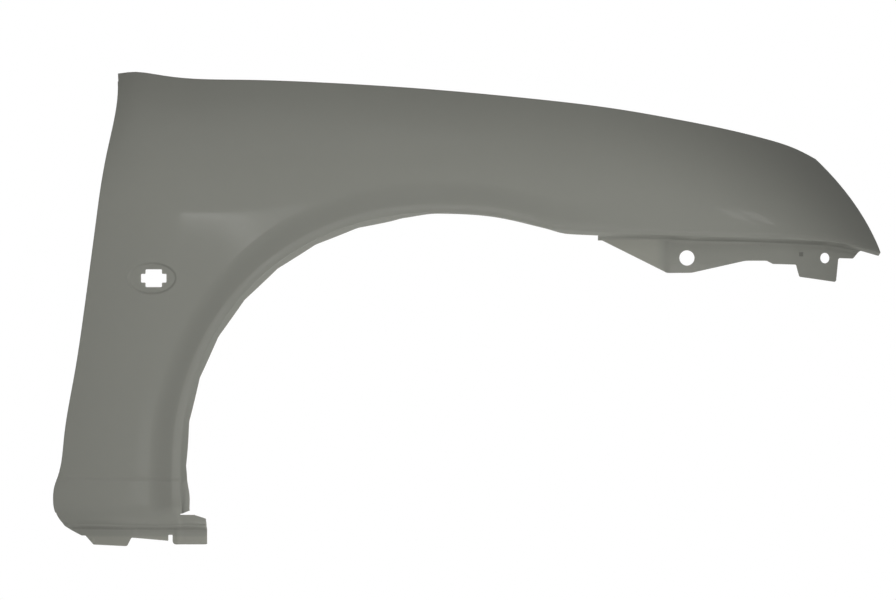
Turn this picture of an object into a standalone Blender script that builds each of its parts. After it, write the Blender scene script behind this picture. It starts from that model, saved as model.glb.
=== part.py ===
"""Front fender of a small hatchback, for its right-hand side, as one pressed steel panel.

The panel is drawn about the wheel centre: X runs to the front of the car, Z up, and the outside
of the car faces -Y, so a point's Y is its depth inboard of the widest line of the wheel arch.
Stations cross the panel from the wheel arch to its outer edge, one after the other from the sill
up the rear leg, over the arch and on to the nose. Rows run along it, from the turned-in edge of
the arch to the flanges behind the door edge and the bonnet edge. The sheet is then thickened,
trimmed and pierced, and moved so that its origin is at a bolt seat of the bonnet flange.
"""

import math

import bmesh
import bpy
import numpy as np
from mathutils import Vector

# Length from the door edge to the nose's tip, and height of the top above the wheel centre
PANEL_LENGTH = 1.0770
TOP_HEIGHT = 0.5091

# Sheet and wheel arch, with how the flare fades out ahead as shares of the length
SHEET = 0.0008
ARCH_REACH_BACK = 0.3240
ARCH_REACH_UP = 0.3200
ARCH_SQUARENESS = 2.1
LEG_TOP_SHARE = 0.66
LIP_RADIUS = 0.0025
LIP_BAND = 0.0115
FLARE_DEPTH = 0.012
FLARE_REACH = 0.040
FLARE_FADE_START = PANEL_LENGTH * 0.08357
FLARE_FADE = PANEL_LENGTH * 0.17642
ARCH_FLANGE = 0.017
ARCH_TOE_IN = 0.0048
ARCH_TOE_IN_END = 0.065
FACET_RISE = 0.0016
FACET_LENGTH = 0.058

# Front of the arch and the lower front edge, as (share of the length, z)
LOWER_FRONT_EDGE = ((0.00000, 0.3200), (0.06035, 0.3165), (0.09564, 0.3094), (0.13928, 0.2988),
                    (0.16713, 0.2964), (0.22284, 0.2942), (0.30734, 0.2905), (0.40297, 0.2883),
                    (0.44847, 0.2861), (0.49025, 0.2828), (0.52182, 0.2766), (0.54596, 0.2727))

# Bonnet edge, as (share of the length, share of the height), and door edge, as (z, share of the length)
BONNET_EDGE = ((-0.38997, 0.99745), (-0.36862, 1.00000), (-0.34169, 0.99195), (-0.31848, 0.98409),
               (-0.24048, 0.97604), (-0.12349, 0.96602), (-0.00743, 0.94972), (0.10771, 0.92732),
               (0.22377, 0.89806), (0.28227, 0.87861), (0.34262, 0.85838), (0.40576, 0.83559),
               (0.45218, 0.81399), (0.47911, 0.79356))
DOOR_EDGE = ((-0.1040, -0.41365), (-0.0925, -0.41968), (-0.0840, -0.43547), (-0.0722, -0.44643),
             (-0.0560, -0.45274), (-0.0435, -0.45395), (-0.0265, -0.45237), (-0.0148, -0.44865),
             (0.0360, -0.44104), (0.1170, -0.42860), (0.1980, -0.41727), (0.3190, -0.40232),
             (0.4020, -0.39174), (0.4450, -0.38644), (0.4670, -0.38561), (0.4890, -0.38719),
             (0.5070, -0.39034))
NOSE_BOW = 0.0120

# Depth of the outer skin
SKIN_DEPTH = 0.012
CROWN_DEPTH = TOP_HEIGHT * 0.13357
CROWN_DEPTH_REAR = TOP_HEIGHT * 0.04321
CROWN_HEIGHT = TOP_HEIGHT * 0.27500
CROWN_HEIGHT_REAR = TOP_HEIGHT * 0.10803
CROWN_POWER = 2.1
NOSE_TURN = 0.142
NOSE_TURN_START = PANEL_LENGTH * 0.20891
NOSE_TURN_END = PANEL_LENGTH * 0.54782
NOSE_TURN_POWER = 3.6
NOSE_RAKE = 0.69
NOSE_RAKE_LEVEL = 0.273
DOOR_TURN = 0.013
DOOR_TURN_REACH = 0.110

# Sill end, from the crease down
CREASE_LEVEL = -0.0148
CREASE_STEP = 0.0014
TUCK_LEVEL = -0.047
TUCK_RADIUS = 0.033
TUCK_ANGLE = 57.0
BEAD_WIDTH = 0.0028
SLOPE_WIDTH = 0.0082
SILL_FLANGE = 0.0215
END_FLANGE = 0.044
TOE_REACH = 0.032
TOE_LEVEL = -0.062
TOE_SLOPE = 0.0055
TOE_RADIUS = 0.006
TOE_TRIM = 0.0006

# Bonnet gutter and flange, level at each bolt seat
EDGE_ROLL = 0.0028
BONNET_ROLL = ((0.7, -0.1), (1.3, -0.8))
GUTTER_DEPTH = 0.020
GUTTER_LEAN = 0.004
BONNET_FLANGE = 0.027
SEAT_LENGTH = 0.036
SEAT_SHARES = (-0.29248, -0.07892, 0.13928, 0.36676)
ORIGIN_SEAT = 1
SLOT_LENGTH = 0.013
SLOT_WIDTH = 0.0085
SLOT_FROM_WALL = 0.0095
SEAT_POINT_FROM_WALL = 0.0190

# Door-edge flange and its bolt ears
DOOR_ROLL = ((-0.3, 0.4), (-0.15, 1.0), (0.1, 1.6))
DOOR_FLANGE = 0.016
DOOR_EAR = 0.031
EAR_HEIGHT = 0.034
EAR_SHARES = (0.16696, 0.83481)
EAR_HOLE = 0.0085
EAR_HOLE_FROM_EDGE = 0.020
CORNER_RELIEF = 0.012

# Nose-edge flange
NOSE_ROLL = 0.0028
NOSE_FLANGE = 0.014
NOSE_FLANGE_TURN = 62.0

# Ledge and hanging flange under the lower front edge
LEDGE_DEPTH = 0.012
LEDGE_DROP = 0.0070
LEDGE_BEND = 0.0022
LEDGE_START = PANEL_LENGTH * 0.12535
LEDGE_FULL = PANEL_LENGTH * 0.15320
HANG_START = PANEL_LENGTH * 0.18570
HANG_END = PANEL_LENGTH * 0.52553
EMBOSS_AT = PANEL_LENGTH * 0.26648
EMBOSS_WIDTH = 0.010
EMBOSS_STEP = 0.0050
TAB_FOLD_LEVEL = 0.2560
TAB_FOLD = 0.0030
HANG_BOTTOM = 0.2290

# Trimmed outline of the hanging flange, as (share of the length, z, corner radius), and its holes, as
# (share of the length, z, diameter)
HANG_OUTLINE = ((0.11142, 0.2860, 0.000), (0.19359, 0.2860, 0.000), (0.27066, 0.2448, 0.010),
                (0.29991, 0.2450, 0.030), (0.36490, 0.2606, 0.045), (0.39136, 0.2608, 0.010),
                (0.39926, 0.2566, 0.004), (0.42851, 0.2560, 0.002), (0.43315, 0.2404, 0.003),
                (0.48329, 0.2338, 0.003), (0.48607, 0.2652, 0.003), (0.50743, 0.2650, 0.003),
                (0.51718, 0.2755, 0.004), (0.55710, 0.2670, 0.000))
BOLT_HOLE = (0.29452, 0.2640, 0.0194)
CLIP_HOLE = (0.46722, 0.2650, 0.0136)

# Trimmed tabs of the sill flange, as (share of the way from the door edge's foot to the lip, z, radius), and
# the notch between the middle tab and the front one
TAB_TOP = -0.0890
REAR_TAB = ((-0.0412, -0.0905, 0.001), (0.0453, -0.1018, 0.002), (0.4033, -0.1034, 0.003),
            (0.4486, -0.0925, 0.002))
MIDDLE_TAB_BOTTOM = -0.0966
NOTCH = (0.8354, 0.8807)
NOTCH_RADIUS = 0.001
FRONT_TAB_BOTTOM = -0.1045
FRONT_TAB_RADIUS = 0.0045

# Lamp recess, at a share of the way from the door edge to the arch, and its cut-out a little ahead
LAMP_SHARE = 0.37341
LAMP_Z = 0.2380
CUTOUT_AHEAD = 0.0020
RECESS_LENGTH = 0.064
RECESS_HEIGHT = 0.042
RECESS_DEPTH = 0.0026
RECESS_WALL = 0.0055
CUTOUT_LENGTH = 0.0325
CUTOUT_HEIGHT = 0.0225
CUTOUT_WAIST = 0.0210
CUTOUT_NOTCH = 0.0110
CUTOUT_CORNER = 0.0012

# Fineness of the mesh
SKIN_CELLS = 9
FLARE_SHARES = (0.10, 0.25, 0.45, 0.70, 1.0)
FLARE_ROWS_SHARE = 0.6
NOSE_RELIEF_ROWS = (3, 1)
LIP_UNDER_SEATS = (-0.05385, 0.14670, 0.38997)
LAMP_WALL_SHARES = ((0.0, 0.0), (0.25, 0.12), (0.6, 0.75), (1.0, 1.0), (1.8, 1.0))
ROUND_STEPS = 20
CORNER_STEPS = 4
CUT_ROOM = 0.012


def smooth_curve(points):
    """A natural cubic spline through (position, value) points, carried on straight past its ends."""
    at = np.array([p[0] for p in points])
    value = np.array([p[1] for p in points])
    step = np.diff(at)
    rise = np.diff(value) / step
    matrix = np.eye(len(at))
    target = np.zeros(len(at))
    for i in range(1, len(at) - 1):
        matrix[i, i - 1:i + 2] = step[i - 1], 2 * (step[i - 1] + step[i]), step[i]
        target[i] = 6 * (rise[i] - rise[i - 1])
    bend = np.linalg.solve(matrix, target)
    first_slope = rise[0] - step[0] * bend[1] / 6
    last_slope = rise[-1] + step[-1] * bend[-2] / 6

    def curve(t):
        if t <= at[0]:
            return float(value[0] + first_slope * (t - at[0]))
        if t >= at[-1]:
            return float(value[-1] + last_slope * (t - at[-1]))
        i = int(np.searchsorted(at, t)) - 1
        left = (at[i + 1] - t) / step[i]
        right = 1 - left
        cubic = ((left ** 3 - left) * bend[i] + (right ** 3 - right) * bend[i + 1]) * step[i] ** 2 / 6
        return float(left * value[i] + right * value[i + 1] + cubic)

    return curve


def ease(t):
    """0 up to t = 0, 1 from t = 1, and a smooth ramp between."""
    t = min(max(t, 0.0), 1.0)
    return t * t * (3 - 2 * t)


bonnet_height = smooth_curve([(PANEL_LENGTH * along, TOP_HEIGHT * up) for along, up in BONNET_EDGE])
door_line = smooth_curve([(z, PANEL_LENGTH * share) for z, share in DOOR_EDGE])
lower_edge = smooth_curve([(PANEL_LENGTH * share, z) for share, z in LOWER_FRONT_EDGE])
TIP_X = PANEL_LENGTH * LOWER_FRONT_EDGE[-1][0]
CORNER_X = PANEL_LENGTH * BONNET_EDGE[0][0]
CORNER_Z = TOP_HEIGHT * BONNET_EDGE[0][1]
NOSE_CORNER_X = PANEL_LENGTH * BONNET_EDGE[-1][0]
SEAT_CENTRES = [PANEL_LENGTH * share for share in SEAT_SHARES]
EAR_LEVELS = [TOP_HEIGHT * share for share in EAR_SHARES]


class Lip:
    """The wheel-arch lip and the lower front edge, walked by distance from behind the wheel centre."""

    def __init__(self):
        points = [(-ARCH_REACH_BACK, CREASE_LEVEL), (-ARCH_REACH_BACK, 0.0)]
        for turn in np.linspace(0, math.pi / 2, 91)[1:]:
            back = math.cos(turn) ** (2 / ARCH_SQUARENESS)
            up = math.sin(turn) ** (2 / ARCH_SQUARENESS)
            points.append((-ARCH_REACH_BACK * back, ARCH_REACH_UP * up))
        rise = ARCH_REACH_UP - LOWER_FRONT_EDGE[0][1]
        for x in np.linspace(0, TIP_X, 91)[1:]:
            points.append((float(x), lower_edge(x) + rise * (1 - ease(x / LEDGE_START))))
        self.points = np.array(points)
        steps = np.hypot(*np.diff(self.points, axis=0).T)
        self.travel = np.concatenate(([0.0], np.cumsum(steps))) + CREASE_LEVEL

    def at(self, travel):
        x = np.interp(travel, self.travel, self.points[:, 0])
        z = np.interp(travel, self.travel, self.points[:, 1])
        return float(x), float(z)

    def travel_at(self, x):
        return float(np.interp(x, self.points[2:, 0], self.travel[2:]))


LIP = Lip()
ARCH_AT_LAMP = -ARCH_REACH_BACK * (1 - (LAMP_Z / ARCH_REACH_UP) ** ARCH_SQUARENESS) ** (1 / ARCH_SQUARENESS)
LAMP_X = door_line(LAMP_Z) + (ARCH_AT_LAMP - door_line(LAMP_Z)) * LAMP_SHARE

SILL_UPRIGHT = CREASE_LEVEL - TUCK_LEVEL
SILL_ARC = TUCK_RADIUS * math.radians(TUCK_ANGLE)
SILL_SLOPE_AT = SILL_UPRIGHT + SILL_ARC + BEAD_WIDTH
SILL_FLANGE_AT = SILL_SLOPE_AT + SLOPE_WIDTH


def sill_profile(down):
    """Height and added depth of the sill end at a distance down its surface from the crease."""
    turn = min(max(down - SILL_UPRIGHT, 0.0), SILL_ARC) / TUCK_RADIUS
    lean = math.radians(TUCK_ANGLE)
    slope = min(max(down - SILL_SLOPE_AT, 0.0), SLOPE_WIDTH)
    upright = min(down, SILL_UPRIGHT) + max(down - SILL_UPRIGHT - SILL_ARC, 0.0) - slope
    height = CREASE_LEVEL - upright - TUCK_RADIUS * math.sin(turn) - slope * math.cos(lean)
    depth = TUCK_RADIUS * (1 - math.cos(turn)) + slope * math.sin(lean)
    return height, depth - CREASE_STEP * ease(down / (SILL_UPRIGHT * 0.3))


def skin_depth(x, z):
    """Depth of the plain outer skin, without the wheel-arch flare and the sill's own profile."""
    behind = min(x, 0.0) / CORNER_X
    height = CROWN_HEIGHT + CROWN_HEIGHT_REAR * behind ** 2
    crown = CROWN_DEPTH + CROWN_DEPTH_REAR * behind ** 2
    rise = min(max(1 - (bonnet_height(x) - z) / height, 0.0), 1.0)
    forward = x + NOSE_RAKE * (z - NOSE_RAKE_LEVEL)
    nose = max((forward - NOSE_TURN_START) / (NOSE_TURN_END - NOSE_TURN_START), 0.0)
    door = max(1 - (x - door_line(max(z, CREASE_LEVEL))) / DOOR_TURN_REACH, 0.0)
    turns = NOSE_TURN * nose ** NOSE_TURN_POWER + DOOR_TURN * door ** 2
    return SKIN_DEPTH + crown * rise ** CROWN_POWER + turns


def flare(distance):
    """How much of the wheel-arch flare is left at a distance from the lip: 1 on its band, 0 on the skin."""
    run = max((distance - LIP_BAND) / FLARE_REACH, 0.0)
    return max(1 - run, 0.0) ** 2


class Station:
    """One crossing of the panel, from the wheel-arch lip to the outer edge."""

    def __init__(self, lip, outer, kind, travel, sill=0.0, nose=0.0, ear=False):
        self.lip = Vector(lip)
        self.outer = Vector(outer)
        self.kind = kind
        self.travel = travel
        self.sill = sill
        self.nose = nose
        self.ear = ear

    def flare_depth(self):
        """The flare fades out along the lower front edge, and where the sill tucks under."""
        ahead = 1 - ease((self.lip.x - FLARE_FADE_START) / FLARE_FADE)
        under = 1 - ease((self.sill - SILL_UPRIGHT * 0.7) / SILL_ARC)
        return FLARE_DEPTH * ahead * under

    def skin(self, distance):
        """The point of the skin at a distance from the lip."""
        span = self.outer - self.lip
        share = distance / span.length
        side = Vector((-span.y, span.x)).normalized()
        spot = self.lip + span * share - side * 4 * share * (1 - share) * NOSE_BOW * self.nose
        depth = skin_depth(spot.x, spot.y) - self.flare_depth() * flare(distance)
        return Vector((spot.x, depth + sill_profile(self.sill)[1], spot.y))

    def skin_distances(self):
        """Distances of the skin's rows from the lip: close over the flare, then spread to the outer edge."""
        length = (self.outer - self.lip).length
        reach = min(FLARE_REACH, (length - LIP_BAND) * FLARE_ROWS_SHARE)
        band = [LIP_RADIUS, (LIP_RADIUS + LIP_BAND) / 2, LIP_BAND]
        root = [LIP_BAND + reach * share for share in FLARE_SHARES]
        return band + root + [float(d) for d in np.linspace(root[-1], length, SKIN_CELLS + 1)[1:]]

    def points(self):
        """All points of the crossing, from the arch's turned-in edge to the end of the outer flange."""
        skin = [self.skin(distance) for distance in self.skin_distances()]
        inner = toe_rows(skin[0]) if is_toe(self) else turned_rows(self, skin[0])
        outer = door_rows(skin[-1]) if self.kind in ("sill", "door") else bonnet_rows(self, skin[-1])
        return inner + skin + outer


def is_toe(station):
    return station.kind == "sill" and station.lip.y < TOE_LEVEL


def turned_rows(station, lip):
    """The flange of the wheel arch, and the ledge and hanging flange that follow it, inmost row first."""
    x = station.lip.x
    outward = (station.outer - station.lip).normalized()
    across = Vector((outward.x, 0, outward.y))
    inboard = Vector((0, 1, 0))
    part_turn = math.radians(45)
    first_roll = lip - (across * math.sin(part_turn) - inboard * (1 - math.cos(part_turn))) * LIP_RADIUS
    last_roll = lip - (across - inboard) * LIP_RADIUS
    width = ARCH_FLANGE + (END_FLANGE - ARCH_FLANGE) * ease(station.sill / SILL_UPRIGHT)
    facet = station.travel / FACET_LENGTH % 1.0
    bulge = FACET_RISE * 4 * facet * (1 - facet)
    toe_in = (ARCH_TOE_IN + bulge) * ease(-x / ARCH_TOE_IN_END)
    arch_end = last_roll + inboard * (width + bulge) - across * toe_in
    ledge_end = last_roll + Vector((0, LEDGE_DEPTH, -LEDGE_DROP))
    hang = ease((x - LEDGE_START) / (LEDGE_FULL - LEDGE_START))
    step = EMBOSS_STEP * (ease((x - EMBOSS_AT) / EMBOSS_WIDTH) - 0.5) * hang
    stop = arch_end.lerp(ledge_end, hang) + inboard * step
    bend = stop + Vector((0, LEDGE_BEND * 0.6, -LEDGE_BEND))
    fold = Vector((bend.x, bend.y, TAB_FOLD_LEVEL))
    bottom = Vector((bend.x, bend.y + TAB_FOLD, HANG_BOTTOM))
    return [bottom, fold, bend, stop, last_roll.lerp(stop, 0.5), last_roll, first_roll]


def toe_rows(lip):
    """Under the sill the panel runs on ahead of the arch, in its own surface."""
    ahead = [lip + Vector((TOE_REACH * share, 0, 0)) for share in (1.0, 0.75, 0.5, 0.25)]
    return [ahead[0]] * 3 + ahead


def seat_level(x):
    """Height of the bonnet flange: level over each bolt seat and straight between the seats."""
    at = [CORNER_X]
    level = [bonnet_height(CORNER_X) - GUTTER_DEPTH]
    for centre in SEAT_CENTRES:
        at += [centre - SEAT_LENGTH / 2, centre + SEAT_LENGTH / 2]
        level += [bonnet_height(centre) - GUTTER_DEPTH] * 2
    at.append(NOSE_CORNER_X)
    level.append(bonnet_height(NOSE_CORNER_X) - GUTTER_DEPTH)
    return float(np.interp(x, at, level))


def gutter_wall(x):
    """Depth of the gutter's wall at the bonnet flange."""
    return skin_depth(x, bonnet_height(x)) + EDGE_ROLL + GUTTER_LEAN


def bonnet_rows(station, edge):
    """The roll over the bonnet edge, the wall of the gutter and the bonnet flange."""
    x = station.outer.x
    level = seat_level(x)
    wall = gutter_wall(x)
    flange = wall + BONNET_FLANGE
    roll = [edge + Vector((0, EDGE_ROLL * y, EDGE_ROLL * z)) for y, z in BONNET_ROLL]
    return roll + [Vector((x, wall, level + EDGE_ROLL * 0.6)),
                   Vector((x, wall + EDGE_ROLL * 0.6, level)),
                   Vector((x, flange, level)),
                   Vector((x, flange + DOOR_EAR - DOOR_FLANGE, level))]


def door_rows(edge):
    """The roll over the door edge and the flange behind it, with room for its bolt ears."""
    roll = [edge + Vector((EDGE_ROLL * x, EDGE_ROLL * y, 0)) for x, y in DOOR_ROLL]
    back = EDGE_ROLL * DOOR_ROLL[-1][0]
    flat = [edge + Vector((back, width, 0)) for width in (DOOR_FLANGE * 0.6, DOOR_FLANGE, DOOR_EAR)]
    return roll + flat


# Places of the rows, counted from the bottom of the hanging flange
STOP_ROW = 3
LIP_ROW = 7
EDGE_ROW = LIP_ROW + 2 + len(FLARE_SHARES) + SKIN_CELLS
EAR_ROW = EDGE_ROW + 6


def spaced(stops):
    """Values from the first stop to the last, with the number of cells that follows each stop."""
    values = []
    for (start, cells), (end, _) in zip(stops, stops[1:]):
        values += [float(v) for v in np.linspace(start, end, cells + 1)[:-1]]
    return values + [stops[-1][0]]


def sill_stations():
    """The sill end, from the bottom of its flange up to just below the crease."""
    stops = [(SILL_FLANGE_AT + SILL_FLANGE, 1), (SILL_FLANGE_AT, 1), (SILL_SLOPE_AT, 1),
             (SILL_UPRIGHT + SILL_ARC, 6), (SILL_UPRIGHT, 2), (SILL_UPRIGHT * 0.3, 2), (0.0, 0)]
    stations = []
    for down in spaced(stops)[:-1]:
        z = sill_profile(down)[0]
        ends = (-ARCH_REACH_BACK, z), (door_line(z), z)
        stations.append(Station(*ends, "sill", CREASE_LEVEL - down, sill=down))
    return stations


def leg_stations():
    """The rear leg, from the crease up to the corner between door edge and bonnet edge."""
    half = EAR_HEIGHT / 2
    low, high = EAR_LEVELS
    lamp_low = LAMP_Z - RECESS_HEIGHT * 0.8
    lamp_high = LAMP_Z + RECESS_HEIGHT * 1.3
    stops = [(CREASE_LEVEL, 4), (low - half, 1), (low + half, 4), (lamp_low, 8), (lamp_high, 4),
             (high - half, 1), (high + half, 2), (CORNER_Z - CORNER_RELIEF, 1), (CORNER_Z, 0)]
    end = LIP.travel_at(-ARCH_REACH_BACK * LEG_TOP_SHARE)
    stations = []
    for z in spaced(stops):
        share = (z - CREASE_LEVEL) / (CORNER_Z - CREASE_LEVEL)
        travel = CREASE_LEVEL + (end - CREASE_LEVEL) * share
        ear = min(abs(z - level) for level in EAR_LEVELS) < half * 1.01
        stations.append(Station(LIP.at(travel), (door_line(z), z), "door", travel, ear=ear))
    return stations


def bonnet_stations():
    """From the corner forward along the bonnet edge, to the nose edge."""
    stops = [(CORNER_X + CORNER_RELIEF, 2)]
    for centre, cells in zip(SEAT_CENTRES, (6, 6, 6, 5)):
        stops += [(centre - SEAT_LENGTH / 2, 2), (centre + SEAT_LENGTH / 2, cells)]
    stops += [(NOSE_CORNER_X - CORNER_RELIEF * 2, 2), (NOSE_CORNER_X, 0)]
    ends = [(CORNER_X, LIP.travel_at(-ARCH_REACH_BACK * LEG_TOP_SHARE))]
    for seat, share in zip(SEAT_CENTRES[1:], LIP_UNDER_SEATS):
        ends.append((seat, LIP.travel_at(PANEL_LENGTH * share)))
    ends.append((NOSE_CORNER_X, LIP.travel_at(TIP_X)))
    lip_places = smooth_curve(ends)
    stations = []
    for x in spaced(stops):
        travel = lip_places(x)
        nose = ease((x - SEAT_CENTRES[-1]) / (NOSE_CORNER_X - SEAT_CENTRES[-1]))
        stations.append(Station(LIP.at(travel), (x, bonnet_height(x)), "bonnet", travel, nose=nose))
    return stations


def nose_flange(last, before):
    """Three more crossings behind the nose edge: the roll and the flange that is turned in from it."""
    turn = math.radians(NOSE_FLANGE_TURN)
    crossings = [[], [], []]
    up = last[EDGE_ROW] - last[LIP_ROW]
    for point, inner in zip(last, before):
        forward = (point - inner).normalized()
        inward = up.cross(forward).normalized()
        middle = point + (forward * math.sin(turn / 2) + inward * (1 - math.cos(turn / 2))) * NOSE_ROLL
        end = point + (forward * math.sin(turn) + inward * (1 - math.cos(turn))) * NOSE_ROLL
        crossings[0].append(middle)
        crossings[1].append(end)
        crossings[2].append(end + (forward * math.cos(turn) + inward * math.sin(turn)) * NOSE_FLANGE)
    return crossings


def has_cell(i, j, stations):
    """Whether the panel has sheet between station i and the next, and row j and the next.

    Its flanges stop short of each other at the corners.
    """
    if i + 1 >= len(stations):
        low, high = NOSE_RELIEF_ROWS if i + 1 > len(stations) else (0, 0)
        return LIP_ROW + low <= j < EDGE_ROW - high
    here, ahead = stations[i], stations[i + 1]
    if j < STOP_ROW:
        return HANG_START <= here.lip.x and ahead.lip.x <= HANG_END
    if j < LIP_ROW:
        return is_toe(here) == is_toe(ahead)
    if j < EDGE_ROW:
        return True
    if here.kind == "sill" and here.lip.y < TOE_LEVEL:
        return False
    if CORNER_Z - CORNER_RELIEF * 1.01 < here.outer.y and here.kind == "door":
        return False
    if ahead.kind == "bonnet" and ahead.outer.x > NOSE_CORNER_X - CORNER_RELIEF:
        return j < EDGE_ROW + 1
    if j == EAR_ROW - 1:
        return here.ear and ahead.ear
    return True


def lamp_block(points):
    """The smallest block of cells that holds the lamp recess with a row of cells to spare."""
    inside = []
    for i, crossing in enumerate(points):
        for j in range(LIP_ROW, EDGE_ROW):
            along = (crossing[j].x - LAMP_X) / (RECESS_LENGTH / 2)
            up = (crossing[j].z - LAMP_Z) / (RECESS_HEIGHT / 2)
            if along ** 2 + up ** 2 < 1.25:
                inside.append((i, j))
    rows = [i for i, j in inside]
    lines = [j for i, j in inside]
    return min(rows) - 1, max(rows) + 1, min(lines) - 1, max(lines) + 1


def lamp_floor(x, z):
    """Depth of the recess's flat floor, which is parallel to the skin at the middle of the recess."""
    reach = RECESS_HEIGHT / 2
    along = skin_depth(LAMP_X + reach, LAMP_Z) - skin_depth(LAMP_X - reach, LAMP_Z)
    up = skin_depth(LAMP_X, LAMP_Z + reach) - skin_depth(LAMP_X, LAMP_Z - reach)
    slope = (along * (x - LAMP_X) + up * (z - LAMP_Z)) / (2 * reach)
    return skin_depth(LAMP_X, LAMP_Z) + slope + RECESS_DEPTH


def lamp_rings(boundary):
    """The recess for the repeater lamp, as rings of points from its rim to its flat floor."""
    rings = []
    for inset, drop in LAMP_WALL_SHARES:
        long_half = RECESS_LENGTH / 2 - inset * RECESS_WALL
        high_half = RECESS_HEIGHT / 2 - inset * RECESS_WALL
        ring = []
        for point in boundary:
            turn = math.atan2((point.z - LAMP_Z) * RECESS_LENGTH, (point.x - LAMP_X) * RECESS_HEIGHT)
            x = LAMP_X + long_half * math.cos(turn)
            z = LAMP_Z + high_half * math.sin(turn)
            ring.append(Vector((x, skin_depth(x, z) * (1 - drop) + lamp_floor(x, z) * drop, z)))
        rings.append(ring)
    return rings


def panel_sheet():
    """The outer surface of the panel as one open sheet of faces, facing outboard."""
    stations = sill_stations() + leg_stations() + bonnet_stations()
    points = [station.points() for station in stations]
    points += nose_flange(points[-1], points[-2])
    first, last, inner, outer = lamp_block(points)
    mesh = bmesh.new()
    corners = {}

    def corner(i, j):
        if (i, j) not in corners:
            corners[i, j] = mesh.verts.new(points[i][j])
        return corners[i, j]

    for i in range(len(points) - 1):
        for j in range(EAR_ROW):
            in_lamp = first <= i < last and inner <= j < outer
            if has_cell(i, j, stations) and not in_lamp:
                mesh.faces.new((corner(i, j), corner(i + 1, j), corner(i + 1, j + 1), corner(i, j + 1)))

    loop = [(first, j) for j in range(inner, outer)] + [(i, outer) for i in range(first, last)]
    loop += [(last, j) for j in range(outer, inner, -1)] + [(i, inner) for i in range(last, first, -1)]
    ring = [corner(i, j) for i, j in loop]
    for places in lamp_rings([vert.co for vert in ring]):
        smaller = [mesh.verts.new(place) for place in places]
        for k in range(len(ring)):
            mesh.faces.new((ring[k - 1], smaller[k - 1], smaller[k], ring[k]))
        ring = smaller
    mesh.faces.new(ring[::-1])
    return mesh


def rounded(corners):
    """An outline with each corner of (x, z, radius) rounded."""
    outline = []
    count = len(corners)
    for i, (x, z, radius) in enumerate(corners):
        here = Vector((x, z))
        before = Vector(corners[i - 1][:2]) - here
        after = Vector(corners[(i + 1) % count][:2]) - here
        if radius <= 0:
            outline.append(here)
            continue
        half = before.angle(after) / 2
        reach = min(radius / math.tan(half), before.length * 0.49, after.length * 0.49)
        start = here + before.normalized() * reach
        end = here + after.normalized() * reach
        middle = here + (before.normalized() + after.normalized()).normalized() * reach / math.cos(half)
        spoke = start - middle
        first = math.atan2(spoke.y, spoke.x)
        last = math.atan2(end.y - middle.y, end.x - middle.x)
        sweep = (last - first + math.pi) % math.tau - math.pi
        for step in range(CORNER_STEPS + 1):
            turn = first + sweep * step / CORNER_STEPS
            outline.append(middle + Vector((math.cos(turn), math.sin(turn))) * spoke.length)
    return outline


def cutter(name, outline, axis, start, end):
    """A prism of an outline given across one axis, from start to end along it."""
    mesh = bmesh.new()
    spread = {"X": lambda a, b: (start, a, b), "Y": lambda a, b: (a, start, b), "Z": lambda a, b: (a, b, start)}
    face = mesh.faces.new([mesh.verts.new(spread[axis](p[0], p[1])) for p in outline])
    grown = bmesh.ops.extrude_face_region(mesh, geom=[face])["geom"]
    way = Vector({"X": (1, 0, 0), "Y": (0, 1, 0), "Z": (0, 0, 1)}[axis]) * (end - start)
    bmesh.ops.translate(mesh, verts=[g for g in grown if isinstance(g, bmesh.types.BMVert)], vec=way)
    bmesh.ops.recalc_face_normals(mesh, faces=mesh.faces)
    if mesh.calc_volume(signed=True) < 0:
        bmesh.ops.reverse_faces(mesh, faces=mesh.faces)
    return new_object(name, mesh)


def disc(x, z, size, steps=ROUND_STEPS):
    """A round outline of a given diameter."""
    return [(x + size / 2 * math.cos(math.tau * k / steps), z + size / 2 * math.sin(math.tau * k / steps))
            for k in range(steps)]


def new_object(name, mesh):
    data = bpy.data.meshes.new(name)
    mesh.to_mesh(data)
    mesh.free()
    return bpy.data.objects.new(name, data)


def cross_outline():
    """The lamp cut-out: a rounded window with a notch at each end for the lamp's clips."""
    long_half = CUTOUT_LENGTH / 2
    high_half = CUTOUT_HEIGHT / 2
    waist = CUTOUT_WAIST / 2
    notch = CUTOUT_NOTCH / 2
    quarter = [(long_half, notch), (waist, notch), (waist, high_half)]
    corners = [(x, z) for x, z in quarter] + [(-x, z) for x, z in quarter[::-1]]
    corners += [(-x, -z) for x, z in quarter] + [(x, -z) for x, z in quarter[::-1]]
    return rounded([(LAMP_X + CUTOUT_AHEAD + x, LAMP_Z + z, CUTOUT_CORNER) for x, z in corners])


def slot_outline(x, y):
    """A bolt slot, long in X."""
    half = SLOT_LENGTH / 2
    wide = SLOT_WIDTH / 2
    return rounded([(x - half, y - wide, wide), (x + half, y - wide, wide),
                    (x + half, y + wide, wide), (x - half, y + wide, wide)])


def hanging_trim():
    """All that lies under the trimmed outline of the hanging flange."""
    under = HANG_BOTTOM - CUT_ROOM
    edge = [(PANEL_LENGTH * share, z, radius) for share, z, radius in HANG_OUTLINE]
    return rounded(edge + [(edge[-1][0], under, 0.0), (edge[0][0], under, 0.0)])


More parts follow.
